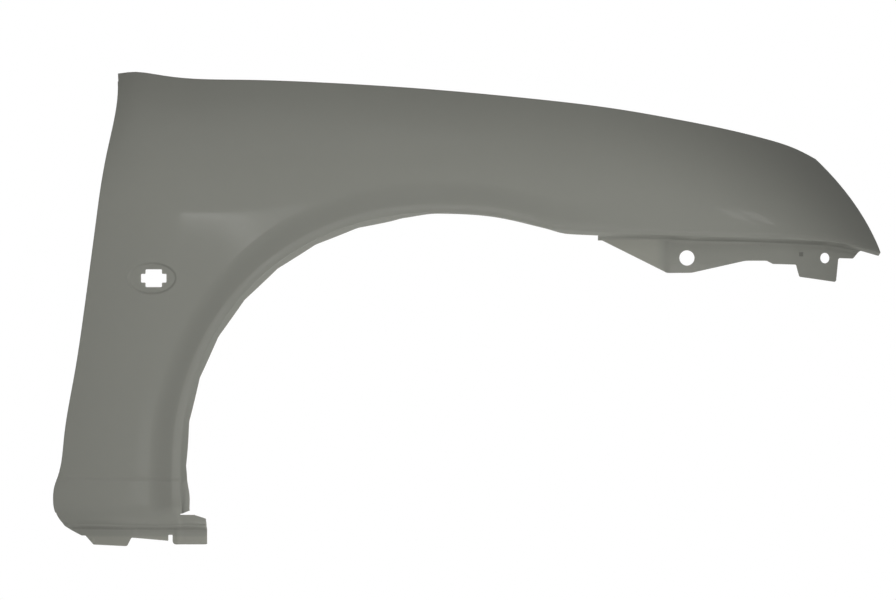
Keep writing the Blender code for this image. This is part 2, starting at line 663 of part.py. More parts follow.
def tab_trim():
    """All that lies under and between the tabs of the sill flange."""
    under = sill_profile(SILL_FLANGE_AT + SILL_FLANGE)[0] - CUT_ROOM
    foot = PANEL_LENGTH * DOOR_EDGE[0][1]
    width = -ARCH_REACH_BACK - foot
    tab = [(foot + width * share, z, radius) for share, z, radius in REAR_TAB]
    notch_rear, notch_front = [foot + width * share for share in NOTCH]
    rear = tab[0][0] - CUT_ROOM * 4
    toe_foot = -ARCH_REACH_BACK + TOE_REACH * 0.5
    front = -ARCH_REACH_BACK + TOE_REACH - TOE_TRIM
    corners = [(rear, tab[0][1], 0.0)] + tab
    corners += [(notch_rear, MIDDLE_TAB_BOTTOM, NOTCH_RADIUS), (notch_rear, TAB_TOP, NOTCH_RADIUS),
                (notch_front, TAB_TOP, NOTCH_RADIUS), (notch_front, FRONT_TAB_BOTTOM, FRONT_TAB_RADIUS),
                (front, FRONT_TAB_BOTTOM, FRONT_TAB_RADIUS), (front, TOE_LEVEL - TOE_SLOPE, TOE_RADIUS),
                (toe_foot, TOE_LEVEL, 0.0)]
    corners += [(toe_foot, TOE_LEVEL + CUT_ROOM, 0.0), (front + CUT_ROOM, TOE_LEVEL + CUT_ROOM, 0.0),
                (front + CUT_ROOM, under, 0.0), (rear, under, 0.0)]
    return rounded(corners)


def cutters():
    """The tools that trim and pierce the panel."""
    lamp_depth = skin_depth(LAMP_X, LAMP_Z)
    sill_depth = SKIN_DEPTH + sill_profile(SILL_FLANGE_AT)[1]
    tools = [cutter("hanging_flange_trim", hanging_trim(), "Y", -CUT_ROOM, NOSE_TURN + BONNET_FLANGE * 3),
             cutter("sill_tab_trim", tab_trim(), "Y", sill_depth - CUT_ROOM, sill_depth + DOOR_EAR + CUT_ROOM),
             cutter("lamp_cutout", cross_outline(), "Y", lamp_depth - CUT_ROOM, lamp_depth + CUT_ROOM)]
    for name, (share, z, size) in (("bolt_hole", BOLT_HOLE), ("clip_hole", CLIP_HOLE)):
        x = PANEL_LENGTH * share
        depth = skin_depth(x, lower_edge(x))
        tools.append(cutter(name, disc(x, z, size), "Y", depth - CUT_ROOM, depth + LEDGE_DEPTH + CUT_ROOM * 2))
    for k, centre in enumerate(SEAT_CENTRES):
        level = seat_level(centre)
        outline = slot_outline(centre, gutter_wall(centre) + SLOT_FROM_WALL)
        tools.append(cutter(f"seat_slot_{k + 1}", outline, "Z", level - CUT_ROOM, level + CUT_ROOM * 0.5))
    for k, level in enumerate(EAR_LEVELS):
        x = door_line(level)
        y = skin_depth(x, level) + EAR_HOLE_FROM_EDGE
        tools.append(cutter(f"ear_hole_{k + 1}", disc(y, level, EAR_HOLE), "X", x - CUT_ROOM, x + CUT_ROOM))
    return tools


def primer():
    """Grey primer with a slight olive cast and a satin finish."""
    material = bpy.data.materials.new("grey_primer")
    material.use_nodes = True
    shader = material.node_tree.nodes["Principled BSDF"]
    shader.inputs["Base Color"].default_value = (0.205, 0.208, 0.186, 1)
    shader.inputs["Roughness"].default_value = 0.42
    shader.inputs["Metallic"].default_value = 0.0
    return material


def build():
    for old in list(bpy.data.objects):
        bpy.data.objects.remove(old, do_unlink=True)
    parts = bpy.data.collections.new("front_fender")
    tools = bpy.data.collections.new("fender_cutters")
    bpy.context.scene.collection.children.link(parts)
    bpy.context.scene.collection.children.link(tools)

    panel = new_object("fender", panel_sheet())
    parts.objects.link(panel)
    panel.data.materials.append(primer())
    panel.data.shade_smooth()
    panel.data.set_sharp_from_angle(angle=math.radians(35))

    thick = panel.modifiers.new("sheet", "SOLIDIFY")
    thick.thickness = SHEET
    thick.offset = -1
    thick.use_even_offset = True
    for tool in cutters():
        tools.objects.link(tool)
        tool.hide_render = True
        tool.display_type = "WIRE"
        cut = panel.modifiers.new(tool.name, "BOOLEAN")
        cut.operation = "DIFFERENCE"
        cut.object = tool

    seat = SEAT_CENTRES[ORIGIN_SEAT]
    origin = Vector((seat, gutter_wall(seat) + SEAT_POINT_FROM_WALL, seat_level(seat) - SHEET))
    for thing in list(parts.objects) + list(tools.objects):
        thing.location = -origin


build()
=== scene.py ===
"""A primed front fender of a small hatchback, pressed from one steel sheet, on a plain pale stage.

The panel repeats the sizes of the solid one about the wheel centre, with X to the front of the car,
Z up and the outside of the car towards -Y, but with many more stations and rows, so that its
highlights run clean. It is then thickened, trimmed and pierced, and moved to the frame's origin.
"""

import math

import bmesh
import bpy
import numpy as np
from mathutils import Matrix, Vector


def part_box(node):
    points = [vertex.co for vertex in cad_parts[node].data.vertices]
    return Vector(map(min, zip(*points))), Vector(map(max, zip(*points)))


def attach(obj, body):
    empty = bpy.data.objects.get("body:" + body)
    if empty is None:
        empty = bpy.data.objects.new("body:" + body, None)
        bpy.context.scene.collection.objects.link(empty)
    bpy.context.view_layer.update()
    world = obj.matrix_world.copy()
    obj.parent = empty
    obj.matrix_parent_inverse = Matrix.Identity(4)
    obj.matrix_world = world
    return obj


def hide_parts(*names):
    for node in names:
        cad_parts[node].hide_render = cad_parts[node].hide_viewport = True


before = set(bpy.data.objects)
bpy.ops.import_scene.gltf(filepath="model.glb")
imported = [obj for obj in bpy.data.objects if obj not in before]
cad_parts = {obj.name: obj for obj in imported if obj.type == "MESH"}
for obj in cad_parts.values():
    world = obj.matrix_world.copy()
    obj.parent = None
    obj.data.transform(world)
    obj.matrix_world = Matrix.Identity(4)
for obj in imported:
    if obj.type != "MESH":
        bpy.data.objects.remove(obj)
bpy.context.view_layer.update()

bl_info = {
    "name": "Primed Fender",
    "version": (1, 0, 0),
    "blender": (4, 5, 0),
    "location": "View3D > Sidebar > Fender",
    "description": "Builds a primed front fender and the plain stage it is shown on",
    "category": "Object",
}

# Sheet and wheel arch
ARCH_REACH_BACK = 0.3240
ARCH_REACH_UP = 0.3200
ARCH_SQUARENESS = 2.1
LIP_RADIUS = 0.0025
LIP_BAND = 0.0115
FLARE_DEPTH = 0.0095
FLARE_REACH = 0.031
FLARE_ROUNDNESS = 0.5
LIP_TURN = 0.0011
LIP_TURN_REACH = 0.0060
FLARE_FADE_START = 0.090
FLARE_FADE = 0.190
ARCH_FLANGE = 0.017
ARCH_TOE_IN = 0.0048
ARCH_TOE_IN_END = 0.065
FACET_RISE = 0.0016
FACET_LENGTH = 0.058

# Front of the arch and the lower front edge, as (x, z)
LOWER_FRONT_EDGE = ((0.0, 0.3200), (0.065, 0.3165), (0.103, 0.3094), (0.150, 0.2988), (0.180, 0.2964),
                    (0.240, 0.2942), (0.331, 0.2905), (0.434, 0.2883), (0.483, 0.2861), (0.528, 0.2828),
                    (0.562, 0.2766), (0.588, 0.2727))

# Bonnet edge, as (x, z), and door edge, as (z, x)
BONNET_EDGE = ((-0.420, 0.5078), (-0.397, 0.5091), (-0.368, 0.5050), (-0.343, 0.5010), (-0.259, 0.4969),
               (-0.133, 0.4918), (-0.008, 0.4835), (0.116, 0.4721), (0.241, 0.4572), (0.304, 0.4473),
               (0.369, 0.4370), (0.437, 0.4254), (0.487, 0.4144), (0.516, 0.4040))
DOOR_EDGE = ((-0.104, -0.4455), (-0.0925, -0.4520), (-0.0840, -0.4690), (-0.0722, -0.4808), (-0.0560, -0.4876),
             (-0.0435, -0.4889), (-0.0265, -0.4872), (-0.0148, -0.4832), (0.036, -0.4750), (0.117, -0.4616),
             (0.198, -0.4494), (0.319, -0.4333), (0.402, -0.4219), (0.445, -0.4162), (0.467, -0.4153),
             (0.489, -0.4170), (0.507, -0.4204))
NOSE_BOW = 0.0120

# Depth of the outer skin
SKIN_DEPTH = 0.012
CROWN_DEPTH = 0.068
CROWN_DEPTH_REAR = 0.022
CROWN_HEIGHT = 0.140
CROWN_HEIGHT_REAR = 0.037
CROWN_HEIGHT_SPREAD = 0.62
CROWN_POWER = 2.1
NOSE_TURN = 0.142
NOSE_TURN_START = 0.225
NOSE_TURN_END = 0.590
NOSE_TURN_POWER = 3.6
NOSE_RAKE = 0.69
NOSE_RAKE_LEVEL = 0.273
DOOR_TURN = 0.013
DOOR_TURN_REACH = 0.110

# Sill end, from the crease down
CREASE_LEVEL = -0.0148
CREASE_STEP = 0.0014
CREASE_REACH = 0.0036
TUCK_LEVEL = -0.047
TUCK_RADIUS = 0.033
TUCK_ANGLE = 57.0
BEAD_WIDTH = 0.0028
SLOPE_WIDTH = 0.0082
SILL_FLANGE = 0.0215
END_FLANGE = 0.044
TOE_REACH = 0.032
TOE_LEVEL = -0.062
TOE_SLOPE = 0.0055
TOE_RADIUS = 0.006

# Bonnet gutter and flange
EDGE_ROLL = 0.0028
GUTTER_DEPTH = 0.020
GUTTER_LEAN = 0.004
BONNET_FLANGE = 0.027
SEAT_LENGTH = 0.036
SEAT_CENTRES = (-0.315, -0.085, 0.150, 0.395)
ORIGIN_SEAT = 1
SLOT_LENGTH = 0.013
SLOT_WIDTH = 0.0085
SLOT_FROM_WALL = 0.0095
SEAT_POINT_FROM_WALL = 0.0190

# Door-edge flange and its bolt ears
DOOR_FLANGE = 0.016
DOOR_EAR = 0.031
EAR_HEIGHT = 0.034
EAR_LEVELS = (0.085, 0.425)
EAR_HOLE = 0.0085
EAR_HOLE_FROM_EDGE = 0.020
CORNER_RELIEF = 0.012

# Nose-edge flange
NOSE_ROLL = 0.0028
NOSE_FLANGE = 0.014
NOSE_FLANGE_TURN = 62.0
NOSE_RELIEF_ROWS = (13, 6)

# Ledge and hanging flange under the lower front edge
LEDGE_DEPTH = 0.012
LEDGE_DROP = 0.0042
LEDGE_BEND = 0.0022
LEDGE_START = 0.135
LEDGE_FULL = 0.165
HANG_START = 0.200
HANG_END = 0.566
EMBOSS_AT = 0.287
EMBOSS_WIDTH = 0.009
EMBOSS_STEP = 0.0050
SOFT_STEPS = ((0.3330, 0.009, 0.0012), (0.4310, 0.008, -0.0014), (0.4600, 0.004, 0.0008))
TAB_FOLD_LEVEL = 0.2560
TAB_FOLD = 0.0030
HANG_BOTTOM = 0.2290
HANG_OUTLINE = ((0.120, 0.2860, 0.0), (0.2085, 0.2860, 0.0), (0.2915, 0.2448, 0.010), (0.3230, 0.2450, 0.030),
                (0.3930, 0.2606, 0.045), (0.4215, 0.2608, 0.010), (0.4300, 0.2566, 0.004),
                (0.4615, 0.2560, 0.002), (0.4665, 0.2404, 0.003), (0.5205, 0.2338, 0.003),
                (0.5235, 0.2652, 0.003), (0.5465, 0.2650, 0.003), (0.5570, 0.2755, 0.004), (0.600, 0.2670, 0.0))
BOLT_HOLE = (0.3172, 0.2640, 0.0194)
CLIP_HOLE = (0.5032, 0.2650, 0.0136)

# Tabs of the sill flange
TAB_TOP = -0.0890
REAR_TAB = ((-0.4505, -0.0905, 0.001), (-0.4400, -0.1018, 0.002), (-0.3965, -0.1034, 0.003),
            (-0.3910, -0.0925, 0.002))
MIDDLE_TAB_BOTTOM = -0.0966
NOTCH = (-0.3440, -0.3385)
FRONT_TAB_BOTTOM = -0.1012
FRONT_TAB_RADIUS = 0.0045
JOGGLES = (-0.3885, -0.3375)
JOGGLE_WIDTH = 0.006

# Lamp recess and its cut-out
LAMP_X = -0.3622
LAMP_Z = 0.2380
CUTOUT_AHEAD = 0.0020
RECESS_LENGTH = 0.064
RECESS_HEIGHT = 0.042
RECESS_DEPTH = 0.0026
RECESS_WALL = 0.0031
SKIN_RING_SHARES = (0.35, 0.7)
WALL_RING_INSETS = (0.0, 0.1, 0.2, 0.32, 0.45, 0.6, 0.75, 0.88, 1.0, 1.15, 1.8)
CUTOUT_LENGTH = 0.0325
CUTOUT_HEIGHT = 0.0225
CUTOUT_WAIST = 0.0210
CUTOUT_NOTCH = 0.0110
CUTOUT_CORNER = 0.0012

# Marks stamped in the flanges, as (x, z)
# The square mark is also darkened in the primer's colour, as painted shade in its pit.
SQUARE_MARK = (0.4690, 0.2696)
PIP = (0.4155, 0.2811)
ROUND_MARK = (-0.4414, -0.0956)

# Painted light: a paler facet at the rear of the hanging flange, as heights between which it fades out
PAINTED_LIGHT_FACET_TOP = (0.2855, 0.2885)

# Scale of each texture in the primer
CLOUD_SCALE = 7.0
MOTTLE_SCALE = 90.0
GRAIN_SCALE = 900.0
SPECK_SCALE = 420.0
PEEL_SCALE = 520.0
DRIFT_SCALE = 130.0

# Camera, lamps and floor, about the wheel centre
CAMERA_PLACE = (0.0126, -2.8, 0.2104)
CAMERA_LENS = 89.3
SENSOR_WIDTH = 36.0
PANEL_MIDDLE = (0.05, 0.0, 0.21)
FLOOR_REACH = 6.0
FLOOR_FADE = (1.0, 2.6)
FLOOR_GLOW = 0.45

# Each lamp's name, its setting, its share of that power, (width, height), and place from the panel's middle
LAMPS = (
    ("front_lamp", "front", 1.0, (0.9, 0.7), (-0.1, -2.9, 0.0)),
    ("low_lamp", "low", 1.0, (1.8, 0.5), (0.0, -2.3, -0.48)),
    ("low_right_lamp", "low_right", 1.0, (0.8, 0.5), (1.2, -2.0, -0.45)),
    ("top_lamp", "top", 1.0, (1.6, 1.0), (-0.6, -1.0, 1.9)),
    ("rear_streak_lamp", "rear_streak", 1.0, (0.195, 0.035), (-0.645, -2.8, 0.228)),
    ("rear_hook_lamp", "rear_streak", 0.25, (0.035, 0.045), (-0.564, -2.8, 0.178)),
    ("nose_spot_lamp", "nose_spot", 0.5, (0.35, 0.2), (1.40, -1.2, 1.12)),
    ("nose_end_lamp", "nose_spot", 1.0, (0.6, 0.25), (2.2, -1.2, 1.78)),
)
ARCH_LAMP_SIZE = (0.7, 0.4)
ARCH_LAMP_PLACE = (-0.05, 0.25, -0.62)
ARCH_LAMP_AIM = (0, -0.1, 1)

# Fineness of the mesh
SKIN_CELLS = 42
FLARE_CELLS = 16
BAND_ROWS = 6
CREASE_ROWS = 5
HANG_CELLS = 4
LEDGE_CELLS = 5
FLANGE_CELLS = 4
NOSE_FLANGE_CELLS = 3
BEND_STEPS = 4
ROLL_STEPS = 6
ROUND_STEPS = 48
CORNER_STEPS = 8
CUT_ROOM = 0.012
SMOOTH_ANGLE = 32.0


class FenderSizes(bpy.types.PropertyGroup):
    """Sizes of the pressed panel that a user may change."""

    sheet: bpy.props.FloatProperty(name="Sheet", description="Thickness of the steel sheet", default=0.0008,
                                   min=0.0003, max=0.003, unit="LENGTH")
    crease_softness: bpy.props.FloatProperty(name="Crease softness", default=0.0012, min=0.0, max=0.004,
                                             description="Half the width over which a pressed crease is rounded",
                                             unit="LENGTH")
    joggle: bpy.props.FloatProperty(name="Joggle", default=0.0009, min=0.0, max=0.003, unit="LENGTH",
                                    description="Offset of the middle sill tab from the tabs beside it")


class PrimerFinish(bpy.types.PropertyGroup):
    """Colour and finish of the primer."""

    colour: bpy.props.FloatVectorProperty(name="Colour", description="Colour of the dried primer", size=3,
                                          subtype="COLOR", default=(0.205, 0.208, 0.186), min=0.0, max=1.0)
    # Besides the thinner coat and the specks, this pale colour carries painted light on the sill tabs, the rear
    # flange facet and the convex edges.
    pale: bpy.props.FloatVectorProperty(name="Pale colour", description="Colour where the coat is thinner", size=3,
                                        subtype="COLOR", default=(0.262, 0.262, 0.228), min=0.0, max=1.0)
    roughness: bpy.props.FloatProperty(name="Roughness", description="Roughness of the dull primer itself",
                                       default=0.50, min=0.05, max=1.0, subtype="FACTOR")
    specular: bpy.props.FloatProperty(name="Specular", description="Strength of the dull primer's reflections",
                                      default=0.0, min=0.0, max=1.0, subtype="FACTOR")
    sheen_film: bpy.props.FloatProperty(name="Sheen film", description="Share of thin glossy film on the primer",
                                        default=0.05, min=0.0, max=1.0, subtype="FACTOR")
    film_roughness: bpy.props.FloatProperty(name="Film roughness", description="Roughness of the glossy film",
                                            default=0.085, min=0.0, max=1.0, subtype="FACTOR")
    peel: bpy.props.FloatProperty(name="Peel", description="Height of the fine ripple in the coat",
                                  default=0.000006, min=0.0, max=0.0002, unit="LENGTH")
    mark_depth: bpy.props.FloatProperty(name="Mark depth", description="Depth of the marks stamped in the flanges",
                                        default=0.0006, min=0.0, max=0.002, unit="LENGTH")


class StageSettings(bpy.types.PropertyGroup):
    """The floor, the background and the level of each lamp."""

    floor_drop: bpy.props.FloatProperty(name="Floor drop", description="Height of the panel above the floor",
                                        default=0.45, min=0.0, max=2.0, unit="LENGTH")
    floor_colour: bpy.props.FloatVectorProperty(name="Floor colour", description="Colour of the plain floor",
                                                subtype="COLOR", size=3, default=(0.86, 0.86, 0.86),
                                                min=0.0, max=1.0)
    ambient: bpy.props.FloatProperty(name="Ambient", description="Level of the even light from all sides",
                                     default=0.09, min=0.0, max=2.0)
    front: bpy.props.FloatProperty(name="Front lamp", description="Power of the soft box beside the camera",
                                   default=19.0, min=0.0, max=1000.0, unit="POWER")
    low: bpy.props.FloatProperty(name="Low lamp", description="Power of the wide soft box near the floor",
                                 default=17.5, min=0.0, max=1000.0, unit="POWER")
    low_right: bpy.props.FloatProperty(name="Low right lamp", description="Power of the low lamp on the nose side",
                                       default=5.7, min=0.0, max=1000.0, unit="POWER")
    top: bpy.props.FloatProperty(name="Top lamp", description="Power of the lamp overhead",
                                 default=9.0, min=0.0, max=1000.0, unit="POWER")
    arch: bpy.props.FloatProperty(name="Arch lamp", description="Power of the lamp inside the wheel arch",
                                  default=4.5, min=0.0, max=1000.0, unit="POWER")
    rear_streak: bpy.props.FloatProperty(name="Rear streak", default=1.4, min=0.0, max=100.0, unit="POWER",
                                         description="Power of the box whose streak shows on the rear of the skin")
    nose_spot: bpy.props.FloatProperty(name="Nose spot", default=6.5, min=0.0, max=100.0, unit="POWER",
                                       description="Power of the box whose spot shows near the nose")


def smooth_curve(points):
    """A natural cubic spline through (position, value) points, carried on straight past its ends."""
    at = np.array([p[0] for p in points])
    value = np.array([p[1] for p in points])
    step = np.diff(at)
    rise = np.diff(value) / step
    matrix = np.eye(len(at))
    target = np.zeros(len(at))
    for i in range(1, len(at) - 1):
        matrix[i, i - 1:i + 2] = step[i - 1], 2 * (step[i - 1] + step[i]), step[i]
        target[i] = 6 * (rise[i] - rise[i - 1])
    bend = np.linalg.solve(matrix, target)
    first_slope = rise[0] - step[0] * bend[1] / 6
    last_slope = rise[-1] + step[-1] * bend[-2] / 6

    def curve(t):
        if t <= at[0]:
            return float(value[0] + first_slope * (t - at[0]))
        if t >= at[-1]:
            return float(value[-1] + last_slope * (t - at[-1]))
        i = int(np.searchsorted(at, t)) - 1
        left = (at[i + 1] - t) / step[i]
        right = 1 - left
        cubic = ((left ** 3 - left) * bend[i] + (right ** 3 - right) * bend[i + 1]) * step[i] ** 2 / 6
        return float(left * value[i] + right * value[i + 1] + cubic)

    return curve


def ease(t):
    """0 up to t = 0, 1 from t = 1, and a smooth ramp between."""
    t = min(max(t, 0.0), 1.0)
    return t * t * (3 - 2 * t)


bonnet_height = smooth_curve(BONNET_EDGE)
door_line = smooth_curve(DOOR_EDGE)
lower_edge = smooth_curve(LOWER_FRONT_EDGE)
TIP_X = LOWER_FRONT_EDGE[-1][0]
CORNER_X, CORNER_Z = BONNET_EDGE[0]
NOSE_CORNER_X = BONNET_EDGE[-1][0]

# Where the crossings meet the lip: the leg's share of the arch, and the lip's x under each seat but the first
LEG_SHARE = 0.66
LIP_UNDER_SEATS = (-0.058, 0.158, 0.420)
CELLS_AFTER_SEATS = (26, 28, 60, 30)


class Lip:
    """The wheel-arch lip and the lower front edge, walked by distance from behind the wheel centre."""

    def __init__(self):
        points = [(-ARCH_REACH_BACK, CREASE_LEVEL), (-ARCH_REACH_BACK, 0.0)]
        for turn in np.linspace(0, math.pi / 2, 721)[1:]:
            back = math.cos(turn) ** (2 / ARCH_SQUARENESS)
            up = math.sin(turn) ** (2 / ARCH_SQUARENESS)
            points.append((-ARCH_REACH_BACK * back, ARCH_REACH_UP * up))
        rise = ARCH_REACH_UP - LOWER_FRONT_EDGE[0][1]
        for x in np.linspace(0, TIP_X, 721)[1:]:
            points.append((float(x), lower_edge(x) + rise * (1 - ease(x / LEDGE_START))))
        self.points = np.array(points)
        steps = np.hypot(*np.diff(self.points, axis=0).T)
        self.travel = np.concatenate(([0.0], np.cumsum(steps))) + CREASE_LEVEL

    def at(self, travel):
        x = np.interp(travel, self.travel, self.points[:, 0])
        z = np.interp(travel, self.travel, self.points[:, 1])
        return float(x), float(z)

    def travel_at(self, x):
        return float(np.interp(x, self.points[2:, 0], self.travel[2:]))


LIP = Lip()

SILL_UPRIGHT = CREASE_LEVEL - TUCK_LEVEL
SILL_ARC = TUCK_RADIUS * math.radians(TUCK_ANGLE)
SILL_SLOPE_AT = SILL_UPRIGHT + SILL_ARC + BEAD_WIDTH
SILL_FLANGE_AT = SILL_SLOPE_AT + SLOPE_WIDTH


def over_crease(softness):
    """Places over a softness either way, whose average rounds a pressed crease."""
    return [softness * k / 2 for k in (-2, -1, 0, 1, 2)]


def sill_profile(down):
    """Height and added depth of the sill end at a distance down its surface from the crease."""
    turn = min(max(down - SILL_UPRIGHT, 0.0), SILL_ARC) / TUCK_RADIUS
    lean = math.radians(TUCK_ANGLE)
    slope = min(max(down - SILL_SLOPE_AT, 0.0), SLOPE_WIDTH)
    upright = min(down, SILL_UPRIGHT) + max(down - SILL_UPRIGHT - SILL_ARC, 0.0) - slope
    height = CREASE_LEVEL - upright - TUCK_RADIUS * math.sin(turn) - slope * math.cos(lean)
    depth = TUCK_RADIUS * (1 - math.cos(turn)) + slope * math.sin(lean)
    return height, depth - CREASE_STEP * ease(down / CREASE_REACH)


def soft_sill(down, softness):
    """The sill's profile with its pressed creases rounded over a softness either way."""
    spots = [sill_profile(down + shift) for shift in over_crease(softness)]
    return tuple(sum(values) / len(spots) for values in zip(*spots))


def skin_depth(x, z):
    """Depth of the plain outer skin, without the wheel-arch flare and the sill's own profile."""
    behind = min(x, 0.0) / CORNER_X
    height = CROWN_HEIGHT + CROWN_HEIGHT_REAR * ease(behind / CROWN_HEIGHT_SPREAD)
    crown = CROWN_DEPTH + CROWN_DEPTH_REAR * behind ** 2
    rise = min(max(1 - (bonnet_height(x) - z) / height, 0.0), 1.0)
    forward = x + NOSE_RAKE * (z - NOSE_RAKE_LEVEL)
    nose = max((forward - NOSE_TURN_START) / (NOSE_TURN_END - NOSE_TURN_START), 0.0)
    door = max(1 - (x - door_line(max(z, CREASE_LEVEL))) / DOOR_TURN_REACH, 0.0)
    turns = NOSE_TURN * nose ** NOSE_TURN_POWER + DOOR_TURN * door ** 2
    return SKIN_DEPTH + crown * rise ** CROWN_POWER + turns


def flare(distance, softness):
    """How much of the wheel-arch flare is left at a distance from the lip, with its crease rounded."""
    total = 0.0
    for shift in over_crease(softness):
        run = max((distance + shift - LIP_BAND) / FLARE_REACH, 0.0)
        total += max(1 - run, 0.0) ** 2 * (1 - FLARE_ROUNDNESS) + (1 - ease(run)) * FLARE_ROUNDNESS
    return total / CREASE_ROWS


def lip_turn(distance):
    """How far the last stretch of the skin turns in towards the lip."""
    return LIP_TURN * max(1 - (distance - LIP_RADIUS) / LIP_TURN_REACH, 0.0) ** 2


def soft_line(points, reaches, steps):
    """A line through points whose inner corners are each rounded over a reach, in a number of steps."""
    line = [points[0]]
    for before, here, after, reach in zip(points, points[1:], points[2:], reaches):
        start = here + (before - here).normalized() * min(reach, (before - here).length * 0.45)
        end = here + (after - here).normalized() * min(reach, (after - here).length * 0.45)
        for step in range(steps + 1):
            t = step / steps
            line.append(start * (1 - t) ** 2 + here * 2 * t * (1 - t) + end * t * t)
    return line + [points[-1]]


def split(line, places):
    """A line with more points added evenly in the cell after each given place."""
    result = []
    for k, point in enumerate(line):
        result.append(point)
        for share in range(1, places.get(k, 1)):
            result.append(point.lerp(line[k + 1], share / places[k]))
    return result


class Station:
    """One crossing of the panel, from the wheel-arch lip to the outer edge."""

    def __init__(self, lip, outer, kind, travel, sizes, sill=0.0, nose=0.0, ear=False):
        self.lip = Vector(lip)
        self.outer = Vector(outer)
        self.kind = kind
        self.travel = travel
        self.sill = sill
        self.nose = nose
        self.ear = ear
        self.softness = sizes.crease_softness
        self.joggle = sizes.joggle

    def flare_depth(self):
        """The flare fades out along the lower front edge, and where the sill tucks under."""
        ahead = 1 - ease((self.lip.x - FLARE_FADE_START) / FLARE_FADE)
        under = 1 - ease((self.sill - SILL_UPRIGHT * 0.7) / SILL_ARC)
        return FLARE_DEPTH * ahead * under

    def tab_offset(self, x):
        """The middle tab of the sill flange stands a little deeper than the tabs beside it."""
        if self.sill <= SILL_SLOPE_AT:
            return 0.0
        rear, front = JOGGLES
        between = ease((x - rear) / JOGGLE_WIDTH) * (1 - ease((x - front) / JOGGLE_WIDTH))
        return self.joggle * between * ease((self.sill - SILL_SLOPE_AT) / SLOPE_WIDTH)

    def skin(self, distance):
        """The point of the skin at a distance from the lip."""
        span = self.outer - self.lip
        share = distance / span.length
        side = Vector((-span.y, span.x)).normalized()
        spot = self.lip + span * share - side * 4 * share * (1 - share) * NOSE_BOW * self.nose
        depth = skin_depth(spot.x, spot.y) - self.flare_depth() * flare(distance, self.softness)
        depth += lip_turn(distance)
        under = soft_sill(self.sill, self.softness)[1] if self.sill else 0.0
        return Vector((spot.x, depth + under + self.tab_offset(spot.x), spot.y))

    def skin_distances(self):
        """Distances of the skin's rows from the lip: close over the flare, then spread to the outer edge."""
        crease = [LIP_BAND + shift for shift in over_crease(self.softness)]
        band = [float(d) for d in np.linspace(LIP_RADIUS, crease[0], BAND_ROWS + 1)[:-1]]
        root = [float(d) for d in np.linspace(crease[-1], LIP_BAND + FLARE_REACH, FLARE_CELLS + 1)[1:]]
        length = (self.outer - self.lip).length
        return band + crease + root + [float(d) for d in np.linspace(root[-1], length, SKIN_CELLS + 1)[1:]]

    def points(self):
        """All points of the crossing, from the arch's turned-in edge to the end of the outer flange."""
        skin = [self.skin(distance) for distance in self.skin_distances()]
        last_cell = (skin[-1] - skin[-2]).length
        near_edge = skin[-1].lerp(skin[-2], min(EDGE_ROLL / last_cell, 0.9))
        inner = toe_rows(skin[0]) if is_toe(self) else turned_rows(self, skin[0])
        corners = door_corners(skin[-1]) if self.kind in ("sill", "door") else bonnet_corners(self, skin[-1])
        reaches = [EDGE_ROLL * 0.4] * 4 + [EDGE_ROLL * 0.6]
        outer = soft_line([near_edge, skin[-1]] + corners[:-1], reaches, BEND_STEPS)
        cells = {len(outer) - 2: FLANGE_CELLS, 3 * BEND_STEPS + 3: FLANGE_CELLS}
        return inner + skin[:-1] + split(outer, cells) + [corners[-1]]


def is_toe(station):
    return station.kind == "sill" and station.lip.y < TOE_LEVEL


def turned_rows(station, lip):
    """The flange of the wheel arch, and the ledge and hanging flange that follow it, inmost row first."""
    x = station.lip.x
    outward = (station.outer - station.lip).normalized()
    across = Vector((outward.x, 0, outward.y))
    inboard = Vector((0, 1, 0))
    roll = []
    for step in range(ROLL_STEPS, 0, -1):
        turn = math.pi / 2 * step / ROLL_STEPS
        roll.append(lip - (across * math.sin(turn) - inboard * (1 - math.cos(turn))) * LIP_RADIUS)
    width = ARCH_FLANGE + (END_FLANGE - ARCH_FLANGE) * ease(station.sill / SILL_UPRIGHT)
    facet = station.travel / FACET_LENGTH % 1.0
    bulge = FACET_RISE * 4 * facet * (1 - facet)
    toe_in = (ARCH_TOE_IN + bulge) * ease(-x / ARCH_TOE_IN_END)
    arch_end = roll[0] + inboard * (width + bulge) - across * toe_in
    ledge_end = roll[0] + Vector((0, LEDGE_DEPTH, -LEDGE_DROP))
    hang = ease((x - LEDGE_START) / (LEDGE_FULL - LEDGE_START))
    step = EMBOSS_STEP * (ease((x - EMBOSS_AT) / EMBOSS_WIDTH) - 0.5) * hang
    step += sum(rise * ease((x - start) / width) for start, width, rise in SOFT_STEPS)
    stop = arch_end.lerp(ledge_end, hang) + inboard * step
    bend = stop + Vector((0, LEDGE_BEND * 0.6, -LEDGE_BEND))
    fold = Vector((bend.x, bend.y, TAB_FOLD_LEVEL))
    bottom = Vector((bend.x, bend.y + TAB_FOLD, HANG_BOTTOM))
    line = soft_line([bottom, fold, bend, stop, roll[0]], [LEDGE_BEND, LEDGE_BEND, LEDGE_BEND], BEND_STEPS)
    last = len(line) - 2
    return split(line, {0: HANG_CELLS, BEND_STEPS + 1: HANG_CELLS, last: LEDGE_CELLS})[:-1] + roll


def toe_rows(lip):
    """Under the sill the panel runs on ahead of the arch, in its own surface."""
    rows = LIP_ROW - STOP_ROW
    ahead = [lip + Vector((TOE_REACH * (rows - k) / rows, 0, 0)) for k in range(rows)]
    return [ahead[0]] * STOP_ROW + ahead


def seat_level(x):
    """Height of the bonnet flange: level over each bolt seat and straight between the seats."""
    at = [CORNER_X]
    level = [bonnet_height(CORNER_X) - GUTTER_DEPTH]
    for centre in SEAT_CENTRES:
        at += [centre - SEAT_LENGTH / 2, centre + SEAT_LENGTH / 2]
        level += [bonnet_height(centre) - GUTTER_DEPTH] * 2
    at.append(NOSE_CORNER_X)
    level.append(bonnet_height(NOSE_CORNER_X) - GUTTER_DEPTH)
    return float(np.interp(x, at, level))


def gutter_wall(x):
    """Depth of the gutter's wall at the bonnet flange."""
    return skin_depth(x, bonnet_height(x)) + EDGE_ROLL + GUTTER_LEAN


